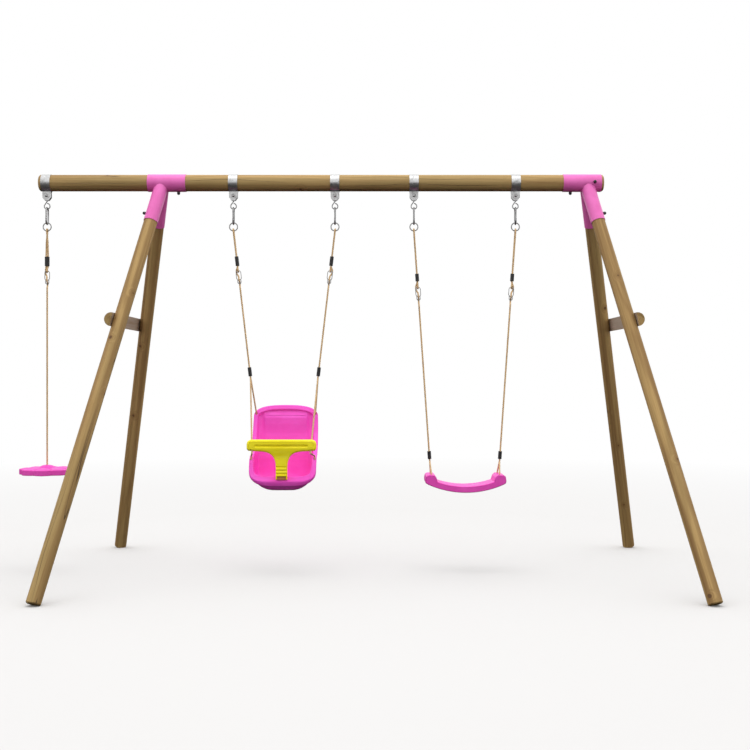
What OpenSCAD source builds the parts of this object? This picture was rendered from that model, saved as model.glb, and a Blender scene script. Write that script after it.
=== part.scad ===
// Garden swing set: a round timber beam on two splayed A-frames, with a button swing outside the left
// A-frame, and a baby swing and a single swing between the A-frames.
// Millimetres. +X right, +Y back, +Z up. Origin: on the ground, under the middle of the set's outline.

/* [Timber frame] */
// Height of the beam's axis above the ground
beam_z = 2140; // [2100:5:2200]
// Diameter of the beam
beam_d = 90; // [86:1:94]
// From the middle of the A-frames to the beam's left end
beam_left = 1840; // [1836:1:1870]
// From the middle of the A-frames to the beam's right end
beam_right = 1256; // [1250:1:1300]
// Diameter of the legs and of the brace stock
leg_d = 72; // [68:1:76]
// From the middle of the A-frames to where the legs' axes meet the beam's axis
head_x = 1166; // [1160:1:1175]
// From the middle of the A-frames to the feet, sideways
foot_x = 1604; // [1560:2:1650]
// From the beam to the feet, front and back
foot_y = 932; // [880:2:980]
// Length of the braces
brace_len = 780; // [740:5:820]
// Height of the braces
brace_z = 1366; // [1340:2:1400]

/* [Brackets] */
// Wall thickness of the bracket tubes
tube_wall = 2.7; // [2:0.1:3]
// Length of a leg socket, from the beam's axis
socket_len = 250; // [240:1:270]

/* [Hangers] */
// Width of the clamp strap
strap_w = 50; // [48:1:54]
// Thickness of the clamp strap
strap_t = 3; // [2:0.5:3]
// From the beam's axis down to the clamp bolt
bolt_drop = 69.4; // [68:0.2:72]
// From the beam's axis down to the swing pivot, in the link's lower loop
pivot_drop = 142.5; // [140:0.5:146]
// Wire diameter of the snap hooks
hook_wire = 9; // [8:0.5:9.5]
// Outer diameter of the rings
ring_d = 50; // [46:1:54]
// Diameter of the ropes
rope_d = 10; // [9:0.5:10]

/* [Button seat] */
// Diameter across the petals
button_d = 300; // [280:2:320]
// Height of the petals' top above the ground
button_z = 572; // [540:2:600]
// Thickness at the rim
button_t = 32; // [28:1:36]

/* [Single seat] */
// Width of the seat
single_w = 440; // [430:2:450]
// Depth of the seat, front to back
single_depth = 190; // [180:2:200]

/* [Baby seat] */
// Half the width of the shell without its rim flange
shell_a = 163; // [161:1:165]
// Wall thickness of the shell
shell_t = 5; // [4:0.5:6]
// Width of the rim flange outside the shell
flange_w = 20; // [18:1:22]

/* [Hidden] */
$fn = 64;

// Clearances
touch = 0.05;
run = 0.05;
gap = 0.1;
fit = 0.3;
eps = 1;
hole_over = 2;

// Bent bars: how far a joint ball is fatter than its bars, and how far short of its middle the bars end
ball_over = 0.12;
ball_gap = 0.5;

// The modules below measure X from the middle of the A-frames
beam_r = beam_d / 2;
leg_r = leg_d / 2;
sleeve_r = beam_r + fit + tube_wall;
socket_r = leg_r + fit + tube_wall;
button_x = -1800;
baby_x = -496;
single_x = 496;
hanger_half = 279;
outline_mid_x = (foot_x + leg_r + button_x - button_d / 2) / 2;

// Leg angles: the A-frame leans sideways and each leg splays front or back within it
lean = atan((foot_x - head_x) / beam_z);
frame_run = norm([foot_x - head_x, beam_z]);
splay = atan(foot_y / frame_run);
leg_tilt = acos(beam_z / norm([foot_x - head_x, foot_y, beam_z]));
leg_top = 92;
leg_chamfer = 5;
foot_bite = 5;
leg_end = (beam_z + foot_bite - (leg_r - leg_chamfer) * sin(leg_tilt)) / cos(leg_tilt);
brace_at = (beam_z - brace_z) / cos(leg_tilt);

// Bracket screws, with the places that they hold
screw_r = 4;
screw_len = 55;
screw_af = 12;
screw_head = 5;
cap_r = 8.5;
cap_h = 17;
sleeve_x0 = 1035;
sleeve_x1 = 1243;
under_screw_x = 1077;
face_screw_x = 1203;
socket_screw_at = 206;

// Brace screws: shank, and the flat cut for the head
brace_screw_r = 4;
brace_screw_len = 95;
brace_spot = 2;
brace_spot_r = 11;
brace_screw_out = leg_d + 2 * touch - brace_spot;

// Low domed heads
head_r = 9.5;
head_h = 5;

// Clamp, bolt, nut and bush
clamp_gap = 16;
clamp_bolt_r = 4;
nut_af = 13;
nut_h = 6.5;
nut_corner_r = 7.5;
nut_flat_r = 6.9;
nut_edge = 0.6;
nut_bore = 0.03;
bolt_tail = 4;
washer_r = 14.5;
washer_t = 2;
lug_w = 47;
lug_end = 97;
lug_foot = 21;
lug_corner = 80;
bush_r = 7;

// Wire link
link_wire_r = 3;
link_top_r = 15;
link_low_r = 15.5;
link_sweep = 304;
pivot_z = beam_z - pivot_drop;
bolt_z = beam_z - bolt_drop;
link_top_z = bolt_z + bush_r + run - (link_top_r - link_wire_r);
link_low_z = pivot_z + link_low_r;

// Snap hook: distances down from the swing pivot
hook_r = hook_wire / 2;
bow_r = 20.5;
hook_side = 50;
bow_top = hook_r + link_wire_r + gap;
bow_z0 = bow_top - bow_r;
bow_z1 = bow_z0 - hook_side;
gate_pivot = bow_z1 + 9;
gate_r = 4;
gate_tongue = 4;
gate_pin_r = 1.25;
gate_foot_r = 3;
gate_rise = 5;
ear_h = 2.6;
slot_low = 3.5;
slot_h = 12;
nose_z = bow_z0 - 3.5;

// Ring and rope
ring_wire_r = 3;
ring_r = ring_d / 2 - ring_wire_r;
ring_top = bow_z1 - bow_r + hook_r + ring_wire_r + gap;
ring_low = ring_top - 2 * ring_r;
eye_z = pivot_z + ring_low;
rope_r = rope_d / 2;
eye_r = rope_r + ring_wire_r + 1.4;
strand_y = rope_r + 2 * gap;
twist_at = 4.4;
twist_drop = 60;
sleeve_w = 10;
sleeve_off = 3;

// Wire adjuster: distances down from its top wire
adj_wire_r = 2;
adj_r = 13.25;
adj_h = 52;
adj_low_r = 9;
adj_low = 73;
weave_y = 9.8;
weave_mid = (adj_h + adj_low) / 2;

// Hanger kinds: [depth of the sleeve's top, sleeve length, depth of the adjuster's top wire]
long_sling = [142.7, 51, 219.7];
single_sling = [236.7, 41, 309.7];
bore_gap = 0.02;

// Lower sleeves and the points where the seat ropes part
apex_r = 9.5;
baby_apex = [185, 0, 1068];
single_apex = [192, 0, 613];
baby_lean = atan((hanger_half - baby_apex.x) / (eye_z - baby_apex.z));
single_lean = atan((hanger_half - single_apex.x) / (eye_z - single_apex.z));
baby_rope_len = norm([hanger_half - baby_apex.x, eye_z - baby_apex.z]);
single_rope_len = norm([hanger_half - single_apex.x, eye_z - single_apex.z]);
low_sleeve_r = 10;
low_sleeve_gap = apex_r + 1;
low_sleeve_floor = 3;
rope_stop = low_sleeve_gap + low_sleeve_floor + gap;
baby_low_sleeve = 49;
single_low_sleeve = 43;

// Baby seat shell, by height
shell_z0 = 461;
shell_top = 917;
shell_round_x = 120;
shell_round_z = 100;
back_round_y = 110;
front_round_y = 60;
front_round_z = 50;
shell_front = -163;
shell_back = 92;
shell_back_slope = 0.125;
dome_h = 60;
dome_z = shell_top - dome_h - flange_w;
flange_t = 13;
front_corner = 4.6;
back_corner = 10;
dome_corner = 2.7;
front_hole = [shell_a + 9, -92, 632];
back_hole = [shell_a + 2, 121, 868];
seat_hole_r = rope_r + 1.5;
hole_reach = 60;
front_knot = 34;
front_knot_r = 8.5;
back_knot = 33;
back_knot_r = 9.5;

// T-bar
bar_w = 371;
bar_z0 = 679;
bar_z1 = 740;
bar_y = -184;
bar_depth = 46;
bar_corner = 20;
stem_w = 62;
stem_z0 = 525;
stem_depth = 24;
stem_fillet = 60;
bar_mid = [158.6, -184.6, 709.5];
rope_bend = [155.5, -206, 668];

// Colours
pine = "#b8935a";
pink = "#f46fdc";
steel = "#c9ccd0";
black = "#1c1c1e";
rope_tan = "#cfae7c";
yellow = "#e6de3a";

// ---- Placing ----

// From the middle of the A-frames to the part's own origin
module placed() {
    translate([-outline_mid_x, 0, 0]) children();
}

// A leg's frame: origin on the beam's axis, -Z down the leg, X square to the A-frame's plane
module leg_frame(side, end) {
    translate([side * head_x, 0, beam_z])
        rotate([0, -side * lean, 0])
            rotate([end * splay, 0, 0])
                children();
}

module at_clamp(x) {
    translate([x, 0, beam_z]) children();
}

module at_pivot(x) {
    translate([x, 0, pivot_z]) children();
}

// A rope's frame: origin in the ring's bottom wire, -Z down the rope
module at_eye(x, lean_angle) {
    translate([x, 0, eye_z]) rotate([0, lean_angle, 0]) children();
}

// Each of a swing's two hangers: side is -1 on the left and 1 on the right
module both_sides() {
    for (side = [-1, 1]) {
        $side = side;
        children();
    }
}

// ---- Shapes ----

// A bar of round section bent to an arc in the XZ plane, angles from +X towards +Z
module arc_xz(r, wire_r, from, sweep) {
    rotate([90, 0, 0])
        rotate_extrude(angle = sweep, start = from)
            translate([r, 0]) circle(wire_r, $fn = 32);
}

// The same in the YZ plane, angles from +Y towards +Z
module arc_yz(r, wire_r, from, sweep) {
    rotate([90, 0, 90])
        rotate_extrude(angle = sweep, start = from)
            translate([r, 0]) circle(wire_r, $fn = 32);
}

// A straight round bar between two points, short of each end by the given gaps
module rod(from, to, r, gap_from = 0, gap_to = 0) {
    way = (to - from) / norm(to - from);
    translate(from + gap_from * way)
        rotate([0, acos(way.z), atan2(way.y, way.x)])
            cylinder(r = r, h = norm(to - from) - gap_from - gap_to, $fn = 32);
}

// A ball that joins two bars of radius r, a hair fatter than they are
module joint_ball(at, r) {
    translate(at) sphere(r + ball_over, $fn = 32);
}

// Round bars through a list of points, with a joint ball at each inner point, and at an end that joins on
module bent_rod(points, r, joins_first = false, joins_last = false) {
    n = len(points) - 1;
    for (i = [0 : n - 1])
        rod(
            points[i], points[i + 1], r,
            i > 0 || joins_first ? ball_gap : 0,
            i < n - 1 || joins_last ? ball_gap : 0
        );
    for (i = [1 : n - 1]) joint_ball(points[i], r);
    if (joins_first) joint_ball(points[0], r);
    if (joins_last) joint_ball(points[n], r);
}

// A timber pole along +Z with both ends chamfered
module pole(r, z0, z1, chamfer) {
    rotate_extrude($fn = 96)
        polygon([
            [0, z0], [r - chamfer, z0], [r, z0 + chamfer],
            [r, z1 - chamfer], [r - chamfer, z1], [0, z1],
        ]);
}

// A low domed head, flat face at z = 0
module domed_head(r, h) {
    ball = (r * r + h * h) / (2 * h);
    intersection() {
        translate([0, 0, h - ball]) sphere(ball, $fn = 64);
        cylinder(r = r + eps, h = h + eps);
    }
}

// ---- Timber frame ----

module beam() {
    color(pine)
        difference() {
            translate([0, 0, beam_z]) rotate([0, 90, 0]) pole(beam_r, -beam_left, beam_right, 6);
            both_brackets() {
                under_sleeve() screw_hole();
                on_sleeve_face() screw_hole();
            }
        }
}

module leg(side, end) {
    color(pine)
        intersection() {
            leg_frame(side, end)
                difference() {
                    pole(leg_r, -leg_end, -leg_top, leg_chamfer);
                    translate([side * socket_r, 0, -socket_screw_at]) rotate([0, side * 90, 0]) screw_hole();
                    translate([0, 0, -brace_at]) rotate([0, side * 90, 0]) brace_screw_hole();
                }
            above_ground();
        }
}

module above_ground() {
    size = 3 * beam_z;
    translate([-size / 2, -size / 2, 0]) cube([size, size, size]);
}

module brace(side) {
    color(pine)
        translate([side * head_x, 0, beam_z])
            rotate([0, -side * lean, 0])
                translate([side * (leg_r + touch), 0, -brace_at * cos(splay)])
                    difference() {
                        rotate([90, 0, 0])
                            translate([0, 0, -brace_len / 2])
                                linear_extrude(brace_len) half_disc(side);
                        for (end = [-1, 1])
                            translate([-side * (leg_r + touch), end * brace_at * sin(splay), 0])
                                rotate([0, side * 90, 0]) {
                                    brace_screw_hole();
                                    translate([0, 0, brace_screw_out - touch])
                                        cylinder(r = brace_spot_r, h = brace_spot + eps);
                                }
                    }
}

module half_disc(side) {
    intersection() {
        circle(leg_r, $fn = 96);
        translate([side > 0 ? 0 : -leg_d, -leg_d]) square([leg_d, 2 * leg_d]);
    }
}

// Places of the four brace screws: origin on the A-frame's plane, +Z outwards
module at_brace_screws() {
    for (side = [-1, 1], end = [-1, 1])
        translate([side * head_x, 0, beam_z])
            rotate([0, -side * lean, 0])
                translate([0, end * brace_at * sin(splay), -brace_at * cos(splay)])
                    rotate([0, side * 90, 0]) children();
}

module brace_screw_hole() {
    translate([0, 0, brace_screw_out - brace_screw_len - hole_over])
        cylinder(r = brace_screw_r + run, h = brace_screw_len + hole_over + eps, $fn = 32);
}

// Coach screws through the braces into the legs
module brace_screws() {
    color(steel)
        at_brace_screws() {
            translate([0, 0, brace_screw_out - brace_screw_len])
                cylinder(r = brace_screw_r, h = brace_screw_len + touch, $fn = 32);
            translate([0, 0, brace_screw_out]) domed_head(head_r, head_h);
        }
}

// A hexagon nut on +Z, bored to run on its bolt
module nut() {
    difference() {
        intersection() {
            cylinder(r = nut_af / 2 / cos(30), h = nut_h, $fn = 6);
            rotate_extrude()
                polygon([
                    [0, 0], [nut_flat_r, 0], [nut_corner_r, nut_edge],
                    [nut_corner_r, nut_h - nut_edge], [nut_flat_r, nut_h], [0, nut_h],
                ]);
        }
        translate([0, 0, -eps]) cylinder(r = clamp_bolt_r + nut_bore, h = nut_h + 2 * eps, $fn = 32);
    }
}

// ---- Tee brackets ----

// The left bracket is the right one turned half a turn
module both_brackets() {
    for (turn = [0, 180]) rotate([0, 0, turn]) children();
}

module under_sleeve() {
    translate([under_screw_x, 0, beam_z - sleeve_r]) rotate([180, 0, 0]) children();
}

module on_sleeve_face() {
    translate([face_screw_x, -sleeve_r, beam_z]) rotate([90, 0, 0]) children();
}

module on_sockets() {
    for (end = [-1, 1])
        leg_frame(1, end) translate([socket_r, 0, -socket_screw_at]) rotate([0, 90, 0]) children();
}

module screw_hole() {
    translate([0, 0, -screw_len - hole_over])
        cylinder(r = screw_r + run, h = screw_len + hole_over + eps, $fn = 32);
}

module sleeve_solid(r, over) {
    translate([sleeve_x0 - over, 0, beam_z])
        rotate([0, 90, 0]) cylinder(r = r, h = sleeve_x1 - sleeve_x0 + 2 * over, $fn = 96);
}

module bracket() {
    color(pink)
        difference() {
            union() {
                sleeve_solid(sleeve_r, 0);
                for (end = [-1, 1])
                    leg_frame(1, end)
                        translate([0, 0, -socket_len]) cylinder(r = socket_r, h = socket_len, $fn = 96);
            }
            sleeve_solid(beam_r + fit, eps);
            difference() {
                for (end = [-1, 1])
                    leg_frame(1, end)
                        translate([0, 0, -socket_len - eps])
                            cylinder(r = leg_r + fit, h = socket_len + eps, $fn = 96);
                sleeve_solid(sleeve_r, 2 * eps);
            }
            under_sleeve() screw_hole();
            on_sleeve_face() screw_hole();
            on_sockets() screw_hole();
        }
}

// Every screw place on both brackets, +Z outwards from the tube's surface
module at_screws() {
    both_brackets() {
        under_sleeve() children();
        on_sleeve_face() children();
        on_sockets() children();
    }
}

module bracket_screws() {
    color(steel)
        at_screws() {
            translate([0, 0, -screw_len]) cylinder(r = screw_r, h = screw_len + touch, $fn = 32);
            translate([0, 0, touch]) cylinder(r = screw_af / 2 / cos(30), h = screw_head, $fn = 6);
        }
}

module screw_caps() {
    straight = cap_h - cap_r;
    cavity_r = screw_af / 2 / cos(30) + gap;
    color(black)
        at_screws()
            translate([0, 0, touch])
                difference() {
                    union() {
                        cylinder(r = cap_r, h = straight);
                        translate([0, 0, straight])
                            intersection() {
                                sphere(cap_r);
                                translate([0, 0, -touch]) cylinder(r = cap_r + eps, h = cap_r + eps);
                            }
                    }
                    translate([0, 0, -eps]) cylinder(r = cavity_r, h = screw_head + fit + eps);
                }
}

// ---- Beam clamps ----

module clamp_section() {
    in_r = beam_r + touch;
    difference() {
        union() {
            circle(in_r + strap_t, $fn = 96);
            for (s = [-1, 1])
                translate([s * (clamp_gap + strap_t) / 2 - strap_t / 2, -lug_end])
                    square([strap_t, lug_end - in_r + 6]);
        }
        circle(in_r, $fn = 96);
        translate([-clamp_gap / 2, -in_r - 2 * strap_t]) square([clamp_gap, in_r]);
    }
}

module clamp() {
    color(steel)
        difference() {
            rotate([90, 0, 90])
                translate([0, 0, -strap_w / 2]) linear_extrude(strap_w) clamp_section();
            for (s = [-1, 1])
                translate([s * strap_w / 2, 0, -lug_end / 2 - beam_r / 2 - 4])
                    cube([strap_w - lug_w, 2 * clamp_gap, lug_end - beam_r], center = true);
            for (s = [-1, 1]) scale([s, 1, 1]) lug_chamfer();
            translate([0, 0, -bolt_drop])
                rotate([90, 0, 0])
                    cylinder(r = clamp_bolt_r + gap, h = 2 * clamp_gap, center = true, $fn = 32);
        }
}

// The corner cut off a lug's lower end
module lug_chamfer() {
    rotate([90, 0, 0])
        linear_extrude(2 * clamp_gap, center = true)
            polygon([
                [lug_w / 2, -lug_corner], [lug_foot / 2, -lug_end],
                [lug_foot / 2, -lug_end - 9], [lug_w, -lug_end - 9], [lug_w, -lug_corner],
            ]);
}

// Bolts lie along Y with their heads to the front
module clamp_bolt() {
    half = clamp_gap / 2 + strap_t;
    socket_floor = 2.5;
    hex_r = 3.4;
    translate([0, 0, -bolt_drop])
        rotate([90, 0, 0]) {
            translate([0, 0, -half - nut_h - bolt_tail])
                cylinder(r = clamp_bolt_r, h = 2 * half + nut_h + bolt_tail + washer_t, $fn = 32);
            translate([0, 0, half + touch]) cylinder(r = washer_r, h = washer_t);
            translate([0, 0, half + touch + washer_t])
                difference() {
                    domed_head(head_r, head_h);
                    translate([0, 0, socket_floor]) cylinder(r = hex_r, h = head_h, $fn = 6);
                }
        }
}

module clamp_bolts() {
    color(steel) at_hangers() clamp_bolt();
}

module clamp_nuts() {
    color(steel)
        at_hangers()
            translate([0, clamp_gap / 2 + strap_t + touch, -bolt_drop]) rotate([-90, 0, 0]) nut();
}

module clamp_bushes() {
    color(black)
        at_hangers()
            translate([0, 0, -bolt_drop])
                rotate([90, 0, 0])
                    difference() {
                        cylinder(r = bush_r, h = clamp_gap - 2 * gap, center = true);
                        cylinder(r = clamp_bolt_r + run, h = clamp_gap + eps, center = true, $fn = 32);
                    }
}

module at_hangers() {
    at_clamp(button_x) children();
    both_sides() {
        at_clamp(baby_x + $side * hanger_half) children();
        at_clamp(single_x + $side * hanger_half) children();
    }
}

// ---- Wire links ----

// Two loops joined by the crossing tangent, from the upper loop's right to the lower loop's left
module link() {
    drop = link_top_z - link_low_z;
    cross = acos((link_top_r + link_low_r) / drop);
    side = [sin(cross), 0, -cos(cross)];
    top = [0, 0, link_top_z - pivot_z];
    low = [0, 0, link_low_z - pivot_z];
    color(steel) {
        translate(top) joined_arc_xz(link_top_r, link_wire_r, cross - 90, link_sweep);
        translate(low) joined_arc_xz(link_low_r, link_wire_r, cross + 90, link_sweep);
        bent_rod([top + link_top_r * side, low - link_low_r * side], link_wire_r, true, true);
    }
}

// An arc whose first end stops inside a joint ball
module joined_arc_xz(r, wire_r, from, sweep) {
    short = asin(ball_gap / r);
    arc_xz(r, wire_r, from + short, sweep - short);
}

// ---- Snap hooks ----

module hook() {
    color(steel)
        difference() {
            union() {
                translate([0, 0, bow_z0]) arc_yz(bow_r, hook_r, 0, 180);
                translate([0, 0, bow_z1]) arc_yz(bow_r, hook_r, 180, 180);
                translate([0, bow_r, bow_z1]) cylinder(r = hook_r, h = hook_side, $fn = 32);
                translate([0, -bow_r, nose_z]) cylinder(r = hook_r, h = bow_z0 - nose_z, $fn = 32);
                translate([0, -bow_r, bow_z1])
                    cylinder(r = hook_r, h = gate_pivot - bow_z1 + ear_h, $fn = 32);
            }
            translate([-gate_tongue / 2 - run, -bow_r - hook_wire, gate_pivot - slot_low])
                cube([gate_tongue + 2 * run, 2 * hook_wire, slot_h]);
            translate([0, -bow_r, gate_pivot])
                rotate([0, 90, 0])
                    cylinder(r = gate_pin_r + bore_gap, h = 2 * hook_wire, center = true, $fn = 32);
        }
}

// The gate closes the hook's front side and turns inwards about its pin
module gate() {
    color(steel)
        translate([0, -bow_r, gate_pivot])
            difference() {
                union() {
                    rotate([0, 90, 0]) cylinder(r = gate_foot_r, h = gate_tongue, center = true, $fn = 32);
                    translate([-gate_tongue / 2, -gate_foot_r, 0])
                        cube([gate_tongue, 2 * gate_foot_r, gate_rise + eps]);
                    translate([0, 0, gate_rise])
                        cylinder(r = gate_r, h = nose_z - gate_pivot - 0.5 - gate_rise, $fn = 32);
                }
                rotate([0, 90, 0]) cylinder(r = gate_pin_r + run, h = 2 * hook_wire, center = true, $fn = 32);
            }
}

module gate_pin() {
    color(steel)
        translate([0, -bow_r, gate_pivot])
            rotate([0, 90, 0]) cylinder(r = gate_pin_r, h = hook_wire - 0.6, center = true, $fn = 32);
}

module ring() {
    color(steel) translate([0, 0, ring_top - ring_r]) arc_xz(ring_r, ring_wire_r, 0, 360);
}

// ---- Ropes ----

// One rope: from the adjuster's top wire up through the sleeve, over the ring, back down through the
// sleeve, woven through the adjuster and on to the end at -length. The weave is on the given side, and
// turned gives the two strands a quarter turn, so that they lie side by side in the sleeve
module hanging_rope(sling, length, side, turned = false) {
    top = -sling[2];
    sleeve_top = -sling[0] + 3;
    sleeve_end = -sling[0] - sling[1] - 3;
    wrap_r = rope_r + adj_wire_r + 1.2;
    beside = side * (rope_r * 2 + 0.6);
    eye_short = asin(ball_gap / eye_r);
    wrap_short = asin(ball_gap / wrap_r);
    strand = turned ? [side * strand_y, 0] : [0, strand_y];
    quarter = turned ? [[side * twist_at, twist_at, -twist_drop]] : [];
    color(rope_tan) {
        arc_yz(eye_r, rope_r, eye_short, 180 - 2 * eye_short);
        bent_rod(concat(
            [[0, -eye_r, 0]],
            [for (p = quarter) [-p.x, -p.y, p.z]],
            [
                [-strand.x, -strand.y, sleeve_top], [-strand.x, -strand.y, sleeve_end],
                [0, -wrap_r, top],
            ]
        ), rope_r, true, true);
        translate([0, 0, top]) arc_yz(wrap_r, rope_r, 180 + wrap_short, 180 - wrap_short);
        bent_rod(concat(
            [[0, eye_r, 0]],
            quarter,
            [
                [strand.x, strand.y, sleeve_top], [strand.x, strand.y, sleeve_end],
                [beside, wrap_r, top + 2], [beside, wrap_r, top - 15.5], [side, 0, top - 32],
                [0, -weave_y, top - weave_mid + weave_y], [0, weave_y, top - weave_mid - weave_y],
                [0, 0, top - adj_low - 23], [0, 0, -length],
            ]
        ), rope_r, true);
    }
}

// A black sleeve round the two strands
module upper_sleeve(sling) {
    color(black)
        translate([0, 0, -sling[0] - sling[1]])
            linear_extrude(sling[1])
                difference() {
                    union() {
                        for (s = [-1, 1]) translate([0, s * sleeve_off]) circle(sleeve_w);
                        square([2 * sleeve_w, 2 * sleeve_off], center = true);
                    }
                    for (s = [-1, 1]) translate([0, s * strand_y]) circle(rope_r + bore_gap, $fn = 32);
                }
}

// A bent-wire adjuster: a tall upper loop with a smaller loop below it
module adjuster(sling) {
    color(steel)
        translate([0, 0, -sling[2]]) {
            translate([0, 0, -adj_r]) arc_xz(adj_r, adj_wire_r, 0, 180);
            translate([0, 0, adj_r - adj_h]) arc_xz(adj_r, adj_wire_r, 180, 180);
            for (s = [-1, 1]) {
                translate([s * adj_r, 0, adj_r - adj_h])
                    cylinder(r = adj_wire_r, h = adj_h - 2 * adj_r, $fn = 32);
                translate([s * adj_low_r, 0, adj_low_r - adj_low])
                    cylinder(
                        r = adj_wire_r,
                        h = adj_low - adj_low_r - adj_h + adj_r - sqrt(adj_r * adj_r - adj_low_r * adj_low_r),
                        $fn = 32
                    );
            }
            translate([0, 0, adj_low_r - adj_low]) arc_xz(adj_low_r, adj_wire_r, 180, 180);
        }
}

module lower_sleeve(length, sleeve) {
    color(black)
        translate([0, 0, -length + low_sleeve_gap])
            difference() {
                cylinder(r = low_sleeve_r, h = sleeve);
                translate([0, 0, low_sleeve_floor]) cylinder(r = rope_r + bore_gap, h = sleeve, $fn = 32);
            }
}

// ---- Button swing ----

button_pocket = 14;
button_skin = 8;
knot_r = 12;
knot_z = button_z - button_skin - knot_r - gap;

module button_rope() {
    length = eye_z - knot_z;
    at_eye(button_x, 0) {
        hanging_rope(long_sling, length, -1, true);
        color(rope_tan) translate([0, 0, -length]) sphere(knot_r);
    }
}

// A flower of eight petals with a raised hub, open and ribbed underneath
module button_seat() {
    petals = 8;
    turn = 4.5;
    petal_r = 52;
    petal_at = button_d / 2 - petal_r;
    side_t = 5;
    rib_t = 5;
    hub_h = 20;
    color(pink)
        translate([button_x, 0, button_z - button_t])
            difference() {
                union() {
                    linear_extrude(button_t) flower(petals, turn, petal_at, petal_r);
                    rotate_extrude()
                        polygon([
                            [0, 10], [54, 10], [54, button_t], [44, button_t + 8],
                            [34, button_t + hub_h], [0, button_t + hub_h],
                        ]);
                }
                difference() {
                    translate([0, 0, -eps])
                        linear_extrude(button_t - button_skin + eps)
                            flower(petals, turn, petal_at, petal_r - side_t);
                    cylinder(r = button_pocket + side_t, h = button_t);
                    for (i = [0 : petals - 1])
                        rotate([0, 0, turn + 360 / petals * i])
                            translate([0, -rib_t / 2, 0]) cube([button_d, rib_t, button_t]);
                }
                translate([0, 0, -eps]) cylinder(r = button_pocket, h = button_t - button_skin + eps);
                cylinder(r = rope_r + 1, h = button_t + hub_h + eps, $fn = 32);
            }
}

module flower(petals, turn, at, r) {
    for (i = [0 : petals - 1]) rotate(turn + 360 / petals * i) translate([at, 0]) circle(r);
    circle(at);
}

// ---- Single swing ----

single_mid_z = 480;
single_mid_t = 34;
single_block_top = 542;
single_hole_y = 59;
single_hole_x = 186;
single_knot_z = 494;

// Outline in the front view, heights from the ground
module single_outline() {
    top_sag = 25;
    top_half = 152;
    top_r = (top_half * top_half + top_sag * top_sag) / (2 * top_sag);
    low_sag = 44;
    low_half = 205;
    low_r = (low_half * low_half + low_sag * low_sag) / (2 * low_sag);
    half = single_w / 2;
    low_z = single_mid_z - single_mid_t;
    difference() {
        polygon([
            [-half + 14, low_z], [half - 14, low_z], [half - 2, low_z + 52], [half, low_z + 66],
            [half - 4, single_block_top - 8], [half - 14, single_block_top],
            [half - 48, single_block_top], [half - 60, single_block_top - 12],
            [top_half, single_mid_z + top_sag], [0, single_mid_z],
            [-top_half, single_mid_z + top_sag], [-half + 60, single_block_top - 12],
            [-half + 48, single_block_top], [-half + 14, single_block_top],
            [-half + 4, single_block_top - 8], [-half, low_z + 66], [-half + 2, low_z + 52],
        ]);
        translate([0, single_mid_z + top_r])
            intersection() {
                circle(top_r, $fn = 180);
                translate([-top_half, -top_r - eps]) square([2 * top_half, top_sag + eps]);
            }
        difference() {
            translate([-half - eps, low_z - eps]) square([single_w + 2 * eps, low_sag + 6]);
            translate([0, low_z + low_r]) circle(low_r, $fn = 180);
        }
    }
}

// A moulded seat, hollow underneath behind its skin, with solid blocks where the ropes pass
module single_seat() {
    skin = 6;
    block_w = 90;
    low_z = single_mid_z - single_mid_t;
    color(pink)
        translate([single_x, 0, 0])
            difference() {
                rotate([90, 0, 0]) linear_extrude(single_depth, center = true) single_outline();
                rotate([90, 0, 0])
                    linear_extrude(single_depth - 2 * skin, center = true)
                        difference() {
                            translate([0, -skin - 2]) single_outline();
                            translate([-single_w / 2 - eps, 0]) square([block_w, single_block_top]);
                            translate([single_w / 2 - block_w + eps, 0]) square([block_w, single_block_top]);
                        }
                rotate([90, 0, 0])
                    linear_extrude(single_depth - 2 * skin, center = true)
                        translate([-single_w / 2 + block_w - eps, low_z - eps])
                            square([single_w - 2 * block_w + 2 * eps, 16]);
                for (x = [-1, 1], y = [-1, 1])
                    translate([x * single_hole_x, y * single_hole_y, 0]) {
                        cylinder(r = rope_r + 1, h = single_block_top + eps, $fn = 32);
                        cylinder(r = knot_r + 2, h = single_knot_z + knot_r + gap);
                    }
            }
}

module single_seat_ropes() {
    color(rope_tan)
        translate([single_x, 0, 0])
            both_sides() {
                translate([$side * single_apex.x, 0, single_apex.z]) sphere(apex_r);
                for (y = [-1, 1]) {
                    bent_rod([
                        [$side * single_apex.x, 0, single_apex.z],
                        [$side * single_hole_x, y * single_hole_y, single_block_top + 8],
                        [$side * single_hole_x, y * single_hole_y, single_knot_z],
                    ], rope_r);
                    translate([$side * single_hole_x, y * single_hole_y, single_knot_z]) sphere(knot_r);
                }
            }
}

// ---- Baby swing ----

// How far the tub's outline draws in at height h above its bottom, as a share of the rounding
function tub_inset(h, r) = h < r ? 1 - sqrt(1 - (r - h) * (r - h) / (r * r)) : 0;
function signed_pow(v, p) = sign(v) * pow(abs(v), p);

// A rounded rectangle by half-width and front and back limits, squarer at the back
function tub_outline(a, front, back, n) = [
    for (i = [0 : n - 1])
        let (t = 360 * i / n, e = 2 / (sin(t) > 0 ? back_corner : front_corner))
            [
                a * signed_pow(cos(t), e),
                (front + back) / 2 + (back - front) / 2 * signed_pow(sin(t), e),
            ]
];

module tub_slice(z, grow) {
    h = z - shell_z0 + grow;
    inset = tub_inset(h, shell_round_z + grow);
    a = shell_a + grow - (shell_round_x + grow) * inset;
    front = shell_front - grow + (front_round_y + grow) * tub_inset(h, front_round_z + grow);
    back = shell_back + grow - (back_round_y + grow) * inset + (z - shell_z0) * shell_back_slope;
    translate([0, 0, z]) linear_extrude(0.02) polygon(tub_outline(a, front, back, 56));
}

// The tub grown outwards by grow, up to above its top
module tub(grow) {
    r = shell_round_z + grow;
    turns = [3, 14, 26, 38, 50, 62, 76, 90];
    levels = concat(
        [for (t = turns) shell_z0 - grow + r * (1 - cos(t))],
        [shell_top + 30]
    );
    hull()
        for (z = levels) tub_slice(z, grow);
}

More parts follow.
